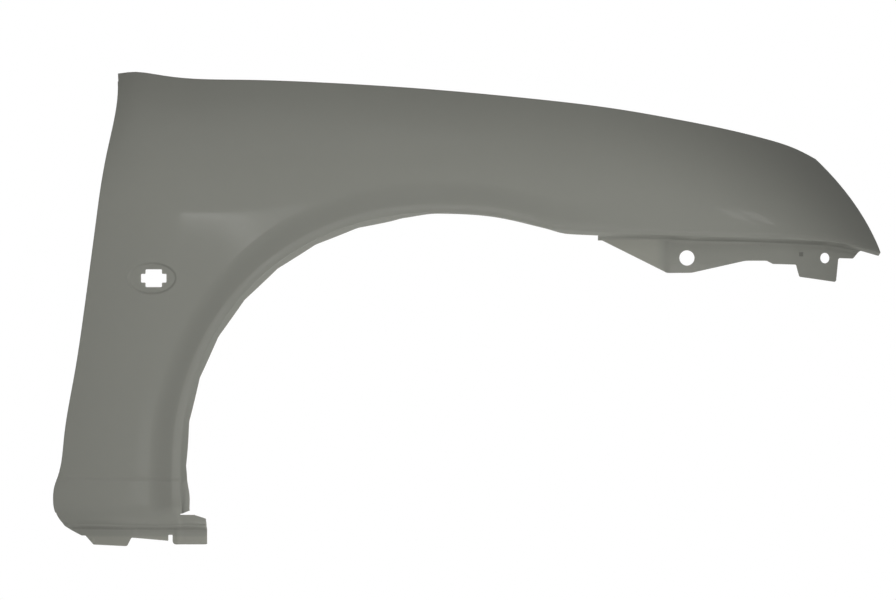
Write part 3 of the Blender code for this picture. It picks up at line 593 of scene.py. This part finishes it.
def bonnet_corners(station, edge):
    """Corners of the roll over the bonnet edge, the wall of the gutter and the bonnet flange."""
    x = station.outer.x
    level = seat_level(x)
    wall = gutter_wall(x)
    flange = wall + BONNET_FLANGE
    return [edge + Vector((0, EDGE_ROLL * 0.7, -EDGE_ROLL * 0.1)),
            edge + Vector((0, EDGE_ROLL * 1.3, -EDGE_ROLL * 0.8)),
            Vector((x, wall, level + EDGE_ROLL * 0.6)),
            Vector((x, wall + EDGE_ROLL * 0.6, level)),
            Vector((x, flange, level)),
            Vector((x, flange + DOOR_EAR - DOOR_FLANGE, level))]


def door_corners(edge):
    """Corners of the roll over the door edge and the flange behind it, with room for its bolt ears."""
    roll = [edge + Vector((EDGE_ROLL * x, EDGE_ROLL * y, 0)) for x, y in ((-0.3, 0.4), (-0.15, 1.0), (0.1, 1.6))]
    flat = [edge + Vector((EDGE_ROLL * 0.1, width, 0)) for width in (DOOR_FLANGE * 0.6, DOOR_FLANGE, DOOR_EAR)]
    return roll + flat


# Places of the rows, counted from the bottom of the hanging flange. Under the sill LIP_ROW is the lip
# itself, and from there on it is the last row of the roll inboard of the lip.
STOP_ROW = 3 * BEND_STEPS + 3 + 2 * (HANG_CELLS - 1)
LIP_ROW = STOP_ROW + LEDGE_CELLS + ROLL_STEPS - 1
LAST_SKIN_ROW = LIP_ROW + BAND_ROWS + CREASE_ROWS + FLARE_CELLS + SKIN_CELLS - 1
EDGE_ROW = LAST_SKIN_ROW + 1 + BEND_STEPS // 2


def spaced(stops):
    """Values from the first stop to the last, with the number of cells that follows each stop."""
    values = []
    for (start, cells), (end, _) in zip(stops, stops[1:]):
        values += [float(v) for v in np.linspace(start, end, cells + 1)[:-1]]
    return values + [stops[-1][0]]


def sill_stations(sizes):
    """The sill end, from the bottom of its flange up to just below the crease."""
    soft = sizes.crease_softness
    stops = [(SILL_FLANGE_AT + SILL_FLANGE, 5), (SILL_FLANGE_AT + soft, 3), (SILL_FLANGE_AT - soft, 3),
             (SILL_SLOPE_AT + soft, 3), (SILL_SLOPE_AT - soft, 1), (SILL_UPRIGHT + SILL_ARC + soft, 3),
             (SILL_UPRIGHT + SILL_ARC - soft, 14), (SILL_UPRIGHT, 9), (CREASE_REACH + soft, 10), (0.0, 0)]
    stations = []
    for down in spaced(stops)[:-1]:
        z = soft_sill(down, soft)[0]
        place = (-ARCH_REACH_BACK, z), (door_line(z), z)
        stations.append(Station(*place, "sill", CREASE_LEVEL - down, sizes, sill=down))
    return stations


def leg_stations(sizes):
    """The rear leg, from the crease up to the corner between door edge and bonnet edge."""
    half = EAR_HEIGHT / 2
    low, high = EAR_LEVELS
    lamp_low = LAMP_Z - RECESS_HEIGHT * 0.8
    lamp_high = LAMP_Z + RECESS_HEIGHT * 1.3
    stops = [(CREASE_LEVEL, 12), (low - half, 5), (low + half, 14), (lamp_low, 26), (lamp_high, 14),
             (high - half, 5), (high + half, 6), (CORNER_Z - CORNER_RELIEF, 3), (CORNER_Z, 0)]
    end = LIP.travel_at(-ARCH_REACH_BACK * LEG_SHARE)
    stations = []
    for z in spaced(stops):
        share = (z - CREASE_LEVEL) / (CORNER_Z - CREASE_LEVEL)
        travel = CREASE_LEVEL + (end - CREASE_LEVEL) * share
        ear = min(abs(z - level) for level in EAR_LEVELS) < half * 1.01
        stations.append(Station(LIP.at(travel), (door_line(z), z), "door", travel, sizes, ear=ear))
    return stations


def bonnet_stations(sizes):
    """From the corner forward along the bonnet edge, to the nose edge."""
    stops = [(CORNER_X + CORNER_RELIEF, 6)]
    for centre, cells in zip(SEAT_CENTRES, CELLS_AFTER_SEATS):
        stops += [(centre - SEAT_LENGTH / 2, 5), (centre + SEAT_LENGTH / 2, cells)]
    stops += [(NOSE_CORNER_X - CORNER_RELIEF * 2, 6), (NOSE_CORNER_X, 0)]
    first = LIP.travel_at(-ARCH_REACH_BACK * LEG_SHARE)
    pairs = [(seat, LIP.travel_at(x)) for seat, x in zip(SEAT_CENTRES[1:], LIP_UNDER_SEATS)]
    lip_places = smooth_curve([(CORNER_X, first)] + pairs + [(NOSE_CORNER_X, LIP.travel_at(TIP_X))])
    stations = []
    for x in spaced(stops):
        travel = lip_places(x)
        nose = ease((x - SEAT_CENTRES[-1]) / (NOSE_CORNER_X - SEAT_CENTRES[-1]))
        stations.append(Station(LIP.at(travel), (x, bonnet_height(x)), "bonnet", travel, sizes, nose=nose))
    return stations


def nose_flange(last, before):
    """More crossings behind the nose edge: the roll and the flange that is turned in from it."""
    full = math.radians(NOSE_FLANGE_TURN)
    crossings = [[] for _ in range(ROLL_STEPS + NOSE_FLANGE_CELLS)]
    up = last[EDGE_ROW] - last[LIP_ROW]
    for point, inner in zip(last, before):
        forward = (point - inner).normalized()
        inward = up.cross(forward).normalized()
        for k in range(ROLL_STEPS):
            turn = full * (k + 1) / ROLL_STEPS
            crossings[k].append(point + (forward * math.sin(turn) + inward * (1 - math.cos(turn))) * NOSE_ROLL)
        end = crossings[ROLL_STEPS - 1][-1]
        for k in range(NOSE_FLANGE_CELLS):
            reach = NOSE_FLANGE * (k + 1) / NOSE_FLANGE_CELLS
            crossings[ROLL_STEPS + k].append(end + (forward * math.cos(full) + inward * math.sin(full)) * reach)
    return crossings


def has_cell(i, j, stations, ear_row):
    """Whether the panel has sheet between station i and the next, and row j and the next."""
    if i + 1 >= len(stations):
        low, high = NOSE_RELIEF_ROWS if i + 1 > len(stations) + ROLL_STEPS // 2 else (0, 0)
        return LIP_ROW + low <= j < EDGE_ROW - high
    here, ahead = stations[i], stations[i + 1]
    if j < STOP_ROW:
        return HANG_START <= here.lip.x and ahead.lip.x <= HANG_END
    if j < LIP_ROW:
        return is_toe(here) == is_toe(ahead)
    if j < EDGE_ROW:
        return True
    if is_toe(here):
        return False
    if CORNER_Z - CORNER_RELIEF * 1.01 < here.outer.y and here.kind == "door":
        return False
    if ahead.kind == "bonnet" and ahead.outer.x > NOSE_CORNER_X - CORNER_RELIEF:
        return j < EDGE_ROW + BEND_STEPS
    if j == ear_row - 1:
        return here.ear and ahead.ear
    return True


def lamp_block(points):
    """The smallest block of cells that holds the lamp recess with a row of cells to spare."""
    inside = []
    for i, crossing in enumerate(points):
        for j in range(LIP_ROW, EDGE_ROW):
            along = (crossing[j].x - LAMP_X) / (RECESS_LENGTH / 2)
            up = (crossing[j].z - LAMP_Z) / (RECESS_HEIGHT / 2)
            if along ** 2 + up ** 2 < 1.25:
                inside.append((i, j))
    rows = [i for i, j in inside]
    lines = [j for i, j in inside]
    return min(rows) - 1, max(rows) + 1, min(lines) - 1, max(lines) + 1


def lamp_floor(x, z):
    """Depth of the recess's flat floor, which is parallel to the skin at the middle of the recess."""
    reach = RECESS_HEIGHT / 2
    along = skin_depth(LAMP_X + reach, LAMP_Z) - skin_depth(LAMP_X - reach, LAMP_Z)
    up = skin_depth(LAMP_X, LAMP_Z + reach) - skin_depth(LAMP_X, LAMP_Z - reach)
    slope = (along * (x - LAMP_X) + up * (z - LAMP_Z)) / (2 * reach)
    return skin_depth(LAMP_X, LAMP_Z) + slope + RECESS_DEPTH


def lamp_rings(boundary):
    """The recess for the repeater lamp, as rings of points from the block's edge to its flat floor."""
    rings = []
    for share in SKIN_RING_SHARES:
        ring = []
        for point in boundary:
            turn = math.atan2((point.z - LAMP_Z) * RECESS_LENGTH, (point.x - LAMP_X) * RECESS_HEIGHT)
            x = point.x + (LAMP_X + RECESS_LENGTH / 2 * math.cos(turn) - point.x) * share
            z = point.z + (LAMP_Z + RECESS_HEIGHT / 2 * math.sin(turn) - point.z) * share
            ring.append(Vector((x, skin_depth(x, z), z)))
        rings.append(ring)
    for inset in WALL_RING_INSETS:
        drop = ease(inset / 1.1)
        long_half = RECESS_LENGTH / 2 - inset * RECESS_WALL
        high_half = RECESS_HEIGHT / 2 - inset * RECESS_WALL
        ring = []
        for point in boundary:
            turn = math.atan2((point.z - LAMP_Z) * RECESS_LENGTH, (point.x - LAMP_X) * RECESS_HEIGHT)
            x = LAMP_X + long_half * math.cos(turn)
            z = LAMP_Z + high_half * math.sin(turn)
            ring.append(Vector((x, skin_depth(x, z) * (1 - drop) + lamp_floor(x, z) * drop, z)))
        rings.append(ring)
    return rings


def panel_sheet(sizes):
    """The outer surface of the panel as one open sheet of faces, facing outboard."""
    stations = sill_stations(sizes) + leg_stations(sizes) + bonnet_stations(sizes)
    points = [station.points() for station in stations]
    points += nose_flange(points[-1], points[-2])
    ear_row = len(points[0]) - 1
    first, last, inner, outer = lamp_block(points)
    mesh = bmesh.new()
    corners = {}

    def corner(i, j):
        if (i, j) not in corners:
            corners[i, j] = mesh.verts.new(points[i][j])
        return corners[i, j]

    for i in range(len(points) - 1):
        for j in range(ear_row):
            in_lamp = first <= i < last and inner <= j < outer
            if has_cell(i, j, stations, ear_row) and not in_lamp:
                mesh.faces.new((corner(i, j), corner(i + 1, j), corner(i + 1, j + 1), corner(i, j + 1)))

    loop = [(first, j) for j in range(inner, outer)] + [(i, outer) for i in range(first, last)]
    loop += [(last, j) for j in range(outer, inner, -1)] + [(i, inner) for i in range(last, first, -1)]
    ring = [corner(i, j) for i, j in loop]
    for places in lamp_rings([vert.co.copy() for vert in ring]):
        smaller = [mesh.verts.new(place) for place in places]
        for k in range(len(ring)):
            mesh.faces.new((ring[k - 1], smaller[k - 1], smaller[k], ring[k]))
        ring = smaller
    mesh.faces.new(ring[::-1])
    return mesh


def rounded(corners):
    """An outline with each corner of (x, z, radius) rounded."""
    outline = []
    count = len(corners)
    for i, (x, z, radius) in enumerate(corners):
        here = Vector((x, z))
        before = Vector(corners[i - 1][:2]) - here
        after = Vector(corners[(i + 1) % count][:2]) - here
        if radius <= 0:
            outline.append(here)
            continue
        half = before.angle(after) / 2
        reach = min(radius / math.tan(half), before.length * 0.49, after.length * 0.49)
        start = here + before.normalized() * reach
        end = here + after.normalized() * reach
        middle = here + (before.normalized() + after.normalized()).normalized() * reach / math.cos(half)
        spoke = start - middle
        first = math.atan2(spoke.y, spoke.x)
        last = math.atan2(end.y - middle.y, end.x - middle.x)
        sweep = (last - first + math.pi) % math.tau - math.pi
        for step in range(CORNER_STEPS + 1):
            turn = first + sweep * step / CORNER_STEPS
            outline.append(middle + Vector((math.cos(turn), math.sin(turn))) * spoke.length)
    return outline


def add_prism(mesh, outline, axis, start, end):
    """Adds a prism of an outline given across one axis, from start to end along it, facing outwards."""
    spread = {"X": lambda a, b: (start, a, b), "Y": lambda a, b: (a, start, b), "Z": lambda a, b: (a, b, start)}
    way = Vector({"X": (1, 0, 0), "Y": (0, 1, 0), "Z": (0, 0, 1)}[axis]) * (end - start)
    near = [mesh.verts.new(spread[axis](p[0], p[1])) for p in outline]
    far = [mesh.verts.new(vert.co + way) for vert in near]
    faces = [mesh.faces.new(near), mesh.faces.new(far[::-1])]
    for k in range(len(near)):
        faces.append(mesh.faces.new((near[k], near[k - 1], far[k - 1], far[k])))
    middle = sum((vert.co for vert in near + far), Vector()) / (2 * len(near))
    side = faces[0]
    side.normal_update()
    if side.normal.dot(side.calc_center_median() - middle) < 0:
        bmesh.ops.reverse_faces(mesh, faces=faces)


def disc(x, z, size):
    """A round outline of a given diameter."""
    turns = [math.tau * k / ROUND_STEPS for k in range(ROUND_STEPS)]
    return [(x + size / 2 * math.cos(turn), z + size / 2 * math.sin(turn)) for turn in turns]


def window_outline():
    """The lamp cut-out: a rounded window with a notch at each end for the lamp's clips."""
    long_half = CUTOUT_LENGTH / 2
    high_half = CUTOUT_HEIGHT / 2
    waist = CUTOUT_WAIST / 2
    notch = CUTOUT_NOTCH / 2
    quarter = [(long_half, notch), (waist, notch), (waist, high_half)]
    corners = [(x, z) for x, z in quarter] + [(-x, z) for x, z in quarter[::-1]]
    corners += [(-x, -z) for x, z in quarter] + [(x, -z) for x, z in quarter[::-1]]
    return rounded([(LAMP_X + CUTOUT_AHEAD + x, LAMP_Z + z, CUTOUT_CORNER) for x, z in corners])


def slot_outline(x, y):
    """A bolt slot, long in X."""
    half = SLOT_LENGTH / 2
    wide = SLOT_WIDTH / 2
    return rounded([(x - half, y - wide, wide), (x + half, y - wide, wide),
                    (x + half, y + wide, wide), (x - half, y + wide, wide)])


def hanging_trim():
    """All that lies under the trimmed outline of the hanging flange."""
    under = HANG_BOTTOM - CUT_ROOM
    return rounded(HANG_OUTLINE + ((HANG_OUTLINE[-1][0], under, 0.0), (HANG_OUTLINE[0][0], under, 0.0)))


def tab_trim():
    """All that lies under and between the tabs of the sill flange."""
    under = sill_profile(SILL_FLANGE_AT + SILL_FLANGE)[0] - CUT_ROOM
    rear = REAR_TAB[0][0] - CUT_ROOM * 4
    toe_foot = -ARCH_REACH_BACK + TOE_REACH * 0.5
    front = -ARCH_REACH_BACK + TOE_REACH - CUT_ROOM * 0.05
    corners = [(rear, REAR_TAB[0][1], 0.0)] + list(REAR_TAB)
    corners += [(NOTCH[0], MIDDLE_TAB_BOTTOM, 0.001), (NOTCH[0], TAB_TOP, 0.001), (NOTCH[1], TAB_TOP, 0.001),
                (NOTCH[1], FRONT_TAB_BOTTOM, FRONT_TAB_RADIUS), (front, FRONT_TAB_BOTTOM, FRONT_TAB_RADIUS),
                (front, TOE_LEVEL - TOE_SLOPE, TOE_RADIUS), (toe_foot, TOE_LEVEL, 0.0)]
    corners += [(toe_foot, TOE_LEVEL + CUT_ROOM, 0.0), (front + CUT_ROOM, TOE_LEVEL + CUT_ROOM, 0.0),
                (front + CUT_ROOM, under, 0.0), (rear, under, 0.0)]
    return rounded(corners)


def trimming_tools():
    """All tools that trim and pierce the panel, as one mesh of separate closed prisms."""
    mesh = bmesh.new()
    lamp_depth = skin_depth(LAMP_X, LAMP_Z)
    sill_depth = SKIN_DEPTH + sill_profile(SILL_FLANGE_AT)[1]
    add_prism(mesh, hanging_trim(), "Y", -CUT_ROOM, NOSE_TURN + BONNET_FLANGE * 3)
    add_prism(mesh, tab_trim(), "Y", sill_depth - CUT_ROOM * 2, sill_depth + DOOR_EAR + CUT_ROOM)
    add_prism(mesh, window_outline(), "Y", lamp_depth - CUT_ROOM, lamp_depth + CUT_ROOM)
    for x, z, size in (BOLT_HOLE, CLIP_HOLE):
        depth = skin_depth(x, lower_edge(x))
        add_prism(mesh, disc(x, z, size), "Y", depth - CUT_ROOM, depth + LEDGE_DEPTH + CUT_ROOM * 2)
    for centre in SEAT_CENTRES:
        level = seat_level(centre)
        outline = slot_outline(centre, gutter_wall(centre) + SLOT_FROM_WALL)
        add_prism(mesh, outline, "Z", level - CUT_ROOM, level + CUT_ROOM * 0.5)
    for level in EAR_LEVELS:
        x = door_line(level)
        y = skin_depth(x, level) + EAR_HOLE_FROM_EDGE
        add_prism(mesh, disc(y, level, EAR_HOLE), "X", x - CUT_ROOM, x + CUT_ROOM)
    return mesh


def frame_origin(sheet):
    """The frame's origin in the panel's own layout: under the bonnet flange at its second bolt seat."""
    seat = SEAT_CENTRES[ORIGIN_SEAT]
    return Vector((seat, gutter_wall(seat) + SEAT_POINT_FROM_WALL, seat_level(seat) - sheet))


def new_object(name, mesh):
    data = bpy.data.meshes.new(name)
    mesh.to_mesh(data)
    mesh.free()
    thing = bpy.data.objects.new(name, data)
    bpy.context.scene.collection.objects.link(thing)
    return thing


def press_panel(sizes):
    """The finished panel as an object with its place in its vertices."""
    panel = new_object("primed_fender", panel_sheet(sizes))
    tools = new_object("trimming_tools", trimming_tools())
    thick = panel.modifiers.new("sheet", "SOLIDIFY")
    thick.thickness = sizes.sheet
    thick.offset = -1
    thick.use_even_offset = True
    cut = panel.modifiers.new("trim", "BOOLEAN")
    cut.operation = "DIFFERENCE"
    cut.solver = "EXACT"
    cut.use_self = True
    cut.object = tools
    bpy.context.view_layer.update()
    finished = bpy.data.meshes.new_from_object(panel.evaluated_get(bpy.context.evaluated_depsgraph_get()))
    panel.modifiers.clear()
    old = panel.data
    panel.data = finished
    finished.name = "primed_fender"
    bpy.data.meshes.remove(old)
    bpy.data.meshes.remove(tools.data)
    origin = frame_origin(sizes.sheet)
    for vert in finished.vertices:
        vert.co -= origin
    finished.shade_smooth()
    finished.set_sharp_from_angle(angle=math.radians(SMOOTH_ANGLE))
    return panel


class Field:
    """A value that varies over the surface, held in a socket, with arithmetic that adds Math nodes."""

    def __init__(self, shader, socket):
        self.shader = shader
        self.socket = socket

    def _math(self, operation, *values):
        return self.shader.node("ShaderNodeMath", {"operation": operation}, dict(enumerate(values)))

    def __add__(self, other):
        return self._math("ADD", self, other)

    def __radd__(self, other):
        return self._math("ADD", other, self)

    def __sub__(self, other):
        return self._math("SUBTRACT", self, other)

    def __rsub__(self, other):
        return self._math("SUBTRACT", other, self)

    def __mul__(self, other):
        return self._math("MULTIPLY", self, other)

    def __rmul__(self, other):
        return self._math("MULTIPLY", other, self)

    def __pow__(self, other):
        return self._math("POWER", self, other)

    def __abs__(self):
        return self._math("ABSOLUTE", self)


class Shader:
    """A material or world whose nodes are added one after the other."""

    def __init__(self, owner):
        owner.use_nodes = True
        self.tree = owner.node_tree
        self.tree.nodes.clear()

    def node(self, kind, settings=None, inputs=None, output=0):
        """Adds a node, with its settings made first and then its sockets filled, and returns one output."""
        made = self.tree.nodes.new(kind)
        for name, value in (settings or {}).items():
            setattr(made, name, value)
        for name, value in (inputs or {}).items():
            if isinstance(value, Field):
                self.tree.links.new(value.socket, made.inputs[name])
            else:
                made.inputs[name].default_value = value
        return Field(self, made.outputs[output]) if made.outputs else made

    def ramp(self, value, low, high):
        """0 below low, 1 above high, and a smooth ramp between."""
        settings = {"interpolation_type": "SMOOTHSTEP", "clamp": True}
        return self.node("ShaderNodeMapRange", settings, {"Value": value, "From Min": low, "From Max": high})

    def noise(self, place, scale, detail=2.0, rough=0.5):
        inputs = {"Vector": place, "Scale": scale, "Detail": detail, "Roughness": rough}
        return self.node("ShaderNodeTexNoise", {}, inputs)

    def mix(self, factor, first, second):
        """A colour between two colours."""
        first, second = (shade if isinstance(shade, Field) else (*shade, 1) for shade in (first, second))
        settings = {"data_type": "RGBA", "clamp_factor": True}
        return self.node("ShaderNodeMix", settings, {0: factor, 6: first, 7: second}, output=2)


def primer_material(finish, origin):
    """Satin grey primer: a fine ripple in the coat, faint clouds of tone and stamped marks in the flanges, with
    painted light on the sill tabs, the rear flange facet and the convex edges, and painted shade in the square
    mark.
    """
    material = bpy.data.materials.new("grey_primer")
    shader = Shader(material)
    place = shader.node("ShaderNodeTexCoord", output="Object")
    pointed = shader.node("ShaderNodeNewGeometry", output="Pointiness")

    clouds = shader.noise(place, CLOUD_SCALE, 3.0, 0.55)
    mottle = shader.noise(place, MOTTLE_SCALE, 3.0, 0.6)
    grain = shader.noise(place, GRAIN_SCALE, 2.0, 0.6)
    tone = (clouds - 0.5) * 0.10 + (mottle - 0.5) * 0.07 + (grain - 0.5) * 0.05
    # Convex edges lighter: partly a thinner coat there, partly a painted highlight on the rolls and trimmed edges.
    edge = shader.ramp(pointed, 0.52, 0.60)
    thin = (shader.ramp(mottle, 0.35, 0.75) * 0.6 + 0.4) * edge
    x, z = (shader.node("ShaderNodeSeparateXYZ", {}, {0: place}, output=axis) for axis in ("X", "Z"))
    # Painted light: the sill tabs below TAB_TOP are made paler, as if lit more than the skin.
    tabs = 1 - shader.ramp(z, TAB_TOP - 0.004 - origin.z, TAB_TOP - origin.z)
    # Painted light: the rear facet of the hanging flange, behind the emboss, is made paler.
    facet = shader.ramp(x, HANG_START - origin.x, HANG_START + 0.006 - origin.x)
    facet = facet * (1 - shader.ramp(x, EMBOSS_AT - 0.012 - origin.x, EMBOSS_AT - origin.x))
    facet = facet * (1 - shader.ramp(z, *(level - origin.z for level in PAINTED_LIGHT_FACET_TOP)))
    # Mix towards the pale colour: random tone, the thinner coat, and painted light on the edges, the tabs and the
    # rear facet.
    pale = thin + tone + 0.12 + (tabs * 0.55 + facet * 0.5) * (0.6 + clouds * 0.8)
    colour = shader.mix(pale, finish.colour, finish.pale)

    specks = shader.ramp(shader.noise(place, SPECK_SCALE, 1.0), 0.755, 0.80)
    colour = shader.mix(specks * 0.35, colour, finish.pale)

    def from_mark(mark):
        return abs(x - (mark[0] - origin.x)), abs(z - (mark[1] - origin.z))

    # Painted shade: the square mark is a shallow pit in the bump, and its colour is darkened to stand in for the
    # shade inside it.
    across, along = from_mark(SQUARE_MARK)
    widest = shader.node("ShaderNodeMath", {"operation": "MAXIMUM"}, {0: across, 1: along})
    square_pit_and_shade = 1 - shader.ramp(widest, 0.0020, 0.0032)
    rounds = None
    for mark, size in ((PIP, 0.0016), (ROUND_MARK, 0.0024)):
        across, along = from_mark(mark)
        spread = (across * across + along * along) ** 0.5
        one = 1 - shader.ramp(spread, size * 0.6, size * 1.3)
        rounds = one if rounds is None else rounds + one

    peel = (shader.noise(place, PEEL_SCALE, 1.5, 0.5) - 0.5) * finish.peel
    drift = (shader.noise(place, DRIFT_SCALE, 1.0, 0.5) - 0.5) * finish.peel * 2
    height = peel + drift - square_pit_and_shade * finish.mark_depth + rounds * finish.mark_depth * 0.6
    bump = shader.node("ShaderNodeBump", {}, {"Strength": 1.0, "Distance": 1.0, "Height": height})
    # Painted shade: the square pit's colour is darkened to about a third of the primer's colour.
    colour = shader.mix(square_pit_and_shade * 0.55, colour, tuple(0.35 * c for c in finish.colour))

    film = finish.sheen_film * (1 - square_pit_and_shade) * (0.75 + mottle * 0.5)
    rough = (mottle - 0.5) * 0.10 + (grain - 0.5) * 0.08 + finish.roughness
    surface = shader.node("ShaderNodeBsdfPrincipled", {}, {
        "Base Color": colour,
        "Roughness": rough,
        "Metallic": 0.0,
        "Specular IOR Level": finish.specular,
        "Coat Weight": film,
        "Coat Roughness": finish.film_roughness,
        "Normal": bump,
    })
    shader.node("ShaderNodeOutputMaterial", {}, {"Surface": surface})
    return material


class FENDER_OT_press(bpy.types.Operator):
    """Press, trim and prime the fender."""

    bl_idname = "fender.press"
    bl_label = "Press the fender"
    bl_options = {"REGISTER", "UNDO"}

    def execute(self, context):
        sizes = context.scene.fender_sizes
        panel = press_panel(sizes)
        if not panel.data.polygons:
            raise RuntimeError("the pressed panel has no faces")
        panel.data.materials.clear()
        panel.data.materials.append(primer_material(context.scene.primer_finish, frame_origin(sizes.sheet)))
        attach(panel, "root")
        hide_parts("fender")
        return {"FINISHED"}


def area_lamp(name, power, size, place, target):
    """A rectangular lamp of (width, height) at a place, aimed at a target."""
    data = bpy.data.lights.new(name, "AREA")
    data.shape = "RECTANGLE"
    data.size, data.size_y = size
    data.energy = power
    lamp = bpy.data.objects.new(name, data)
    bpy.context.scene.collection.objects.link(lamp)
    lamp.location = place
    lamp.rotation_euler = (Vector(target) - Vector(place)).to_track_quat("-Z", "Y").to_euler()
    return lamp


def background_rays(shader):
    """1 for the rays that show the background as it looks: the camera's, reflected and transmitted ones."""
    kinds = ("Camera", "Glossy", "Transmission")
    seen, glossy, clear = (shader.node("ShaderNodeLightPath", output=f"Is {kind} Ray") for kind in kinds)
    return shader.node("ShaderNodeMath", {"operation": "MINIMUM"}, {0: seen + glossy + clear, 1: 1.0})


def floor_material(stage):
    """A plain pale floor that keeps the panel's shadow and goes over into the white background."""
    material = bpy.data.materials.new("pale_floor")
    shader = Shader(material)
    shown = background_rays(shader)
    place = shader.node("ShaderNodeTexCoord", output="Object")
    length = shader.node("ShaderNodeVectorMath", {"operation": "LENGTH"}, {0: place}, output="Value")
    far = shader.ramp(length, *FLOOR_FADE)
    plain = shader.node("ShaderNodeBsdfPrincipled", {}, {
        "Base Color": (*stage.floor_colour, 1),
        "Roughness": 0.8,
        "Emission Color": shader.mix(shown, (0, 0, 0), (1, 1, 1)),
        "Emission Strength": FLOOR_GLOW,
    })
    white = shader.node("ShaderNodeEmission", {}, {"Color": (1, 1, 1, 1), "Strength": 1.0})
    both = shader.node("ShaderNodeMixShader", {}, {0: far * shown, 1: plain, 2: white})
    shader.node("ShaderNodeOutputMaterial", {}, {"Surface": both})
    return material


def white_world(ambient):
    """White behind the panel and in its reflections, and a dimmer even light on it."""
    world = bpy.data.worlds.new("studio")
    shader = Shader(world)
    shown = background_rays(shader)
    light = shader.node("ShaderNodeBackground", {}, {"Color": (1, 1, 1, 1), "Strength": ambient})
    white = shader.node("ShaderNodeBackground", {}, {"Color": (1, 1, 1, 1), "Strength": 1.0})
    both = shader.node("ShaderNodeMixShader", {}, {0: shown, 1: light, 2: white})
    shader.node("ShaderNodeOutputWorld", {}, {"Surface": both})
    return world


class FENDER_OT_stage(bpy.types.Operator):
    """Set up the floor, the white background, the lamps and the camera."""

    bl_idname = "fender.stage"
    bl_label = "Set the stage"
    bl_options = {"REGISTER", "UNDO"}

    def execute(self, context):
        stage = context.scene.stage_settings
        origin = frame_origin(context.scene.fender_sizes.sheet)
        low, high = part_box("fender")
        middle = (low + high) / 2

        mesh = bmesh.new()
        bmesh.ops.create_grid(mesh, x_segments=8, y_segments=8, size=FLOOR_REACH)
        floor = new_object("pale_floor", mesh)
        floor.location = (middle.x, middle.y, low.z - stage.floor_drop)
        floor.data.materials.append(floor_material(stage))

        centre = Vector(PANEL_MIDDLE) - origin
        for name, setting, share, size, place in LAMPS:
            area_lamp(name, getattr(stage, setting) * share, size, centre + Vector(place), centre)
        under_arch = centre + Vector(ARCH_LAMP_PLACE)
        area_lamp("arch_lamp", stage.arch, ARCH_LAMP_SIZE, under_arch, under_arch + Vector(ARCH_LAMP_AIM))
        context.scene.world = white_world(stage.ambient)

        data = bpy.data.cameras.new("camera")
        data.lens = CAMERA_LENS
        data.sensor_width = SENSOR_WIDTH
        data.clip_start = 0.05
        camera = bpy.data.objects.new("camera", data)
        context.scene.collection.objects.link(camera)
        camera.location = Vector(CAMERA_PLACE) - origin
        camera.rotation_euler = (math.radians(90), 0, 0)
        context.scene.camera = camera
        context.scene.view_settings.view_transform = "Standard"
        return {"FINISHED"}


class FENDER_PT_sidebar(bpy.types.Panel):
    """Lists the steps that build the fender and its stage, with their settings."""

    bl_idname = "FENDER_PT_sidebar"
    bl_label = "Primed fender"
    bl_space_type = "VIEW_3D"
    bl_region_type = "UI"
    bl_category = "Fender"

    def draw(self, context):
        for group, step in (("fender_sizes", None), ("primer_finish", "fender.press"),
                            ("stage_settings", "fender.stage")):
            settings = getattr(context.scene, group)
            box = self.layout.box()
            for name in settings.bl_rna.properties.keys():
                if name not in ("rna_type", "name"):
                    box.prop(settings, name)
            if step:
                box.operator(step)


CLASSES = (FenderSizes, PrimerFinish, StageSettings, FENDER_OT_press, FENDER_OT_stage, FENDER_PT_sidebar)


def register():
    for cls in CLASSES:
        bpy.utils.register_class(cls)
    bpy.types.Scene.fender_sizes = bpy.props.PointerProperty(type=FenderSizes)
    bpy.types.Scene.primer_finish = bpy.props.PointerProperty(type=PrimerFinish)
    bpy.types.Scene.stage_settings = bpy.props.PointerProperty(type=StageSettings)


def unregister():
    del bpy.types.Scene.stage_settings
    del bpy.types.Scene.primer_finish
    del bpy.types.Scene.fender_sizes
    for cls in reversed(CLASSES):
        bpy.utils.unregister_class(cls)


def main():
    register()
    bpy.ops.fender.press()
    bpy.ops.fender.stage()


if __name__ == "__main__":
    main()
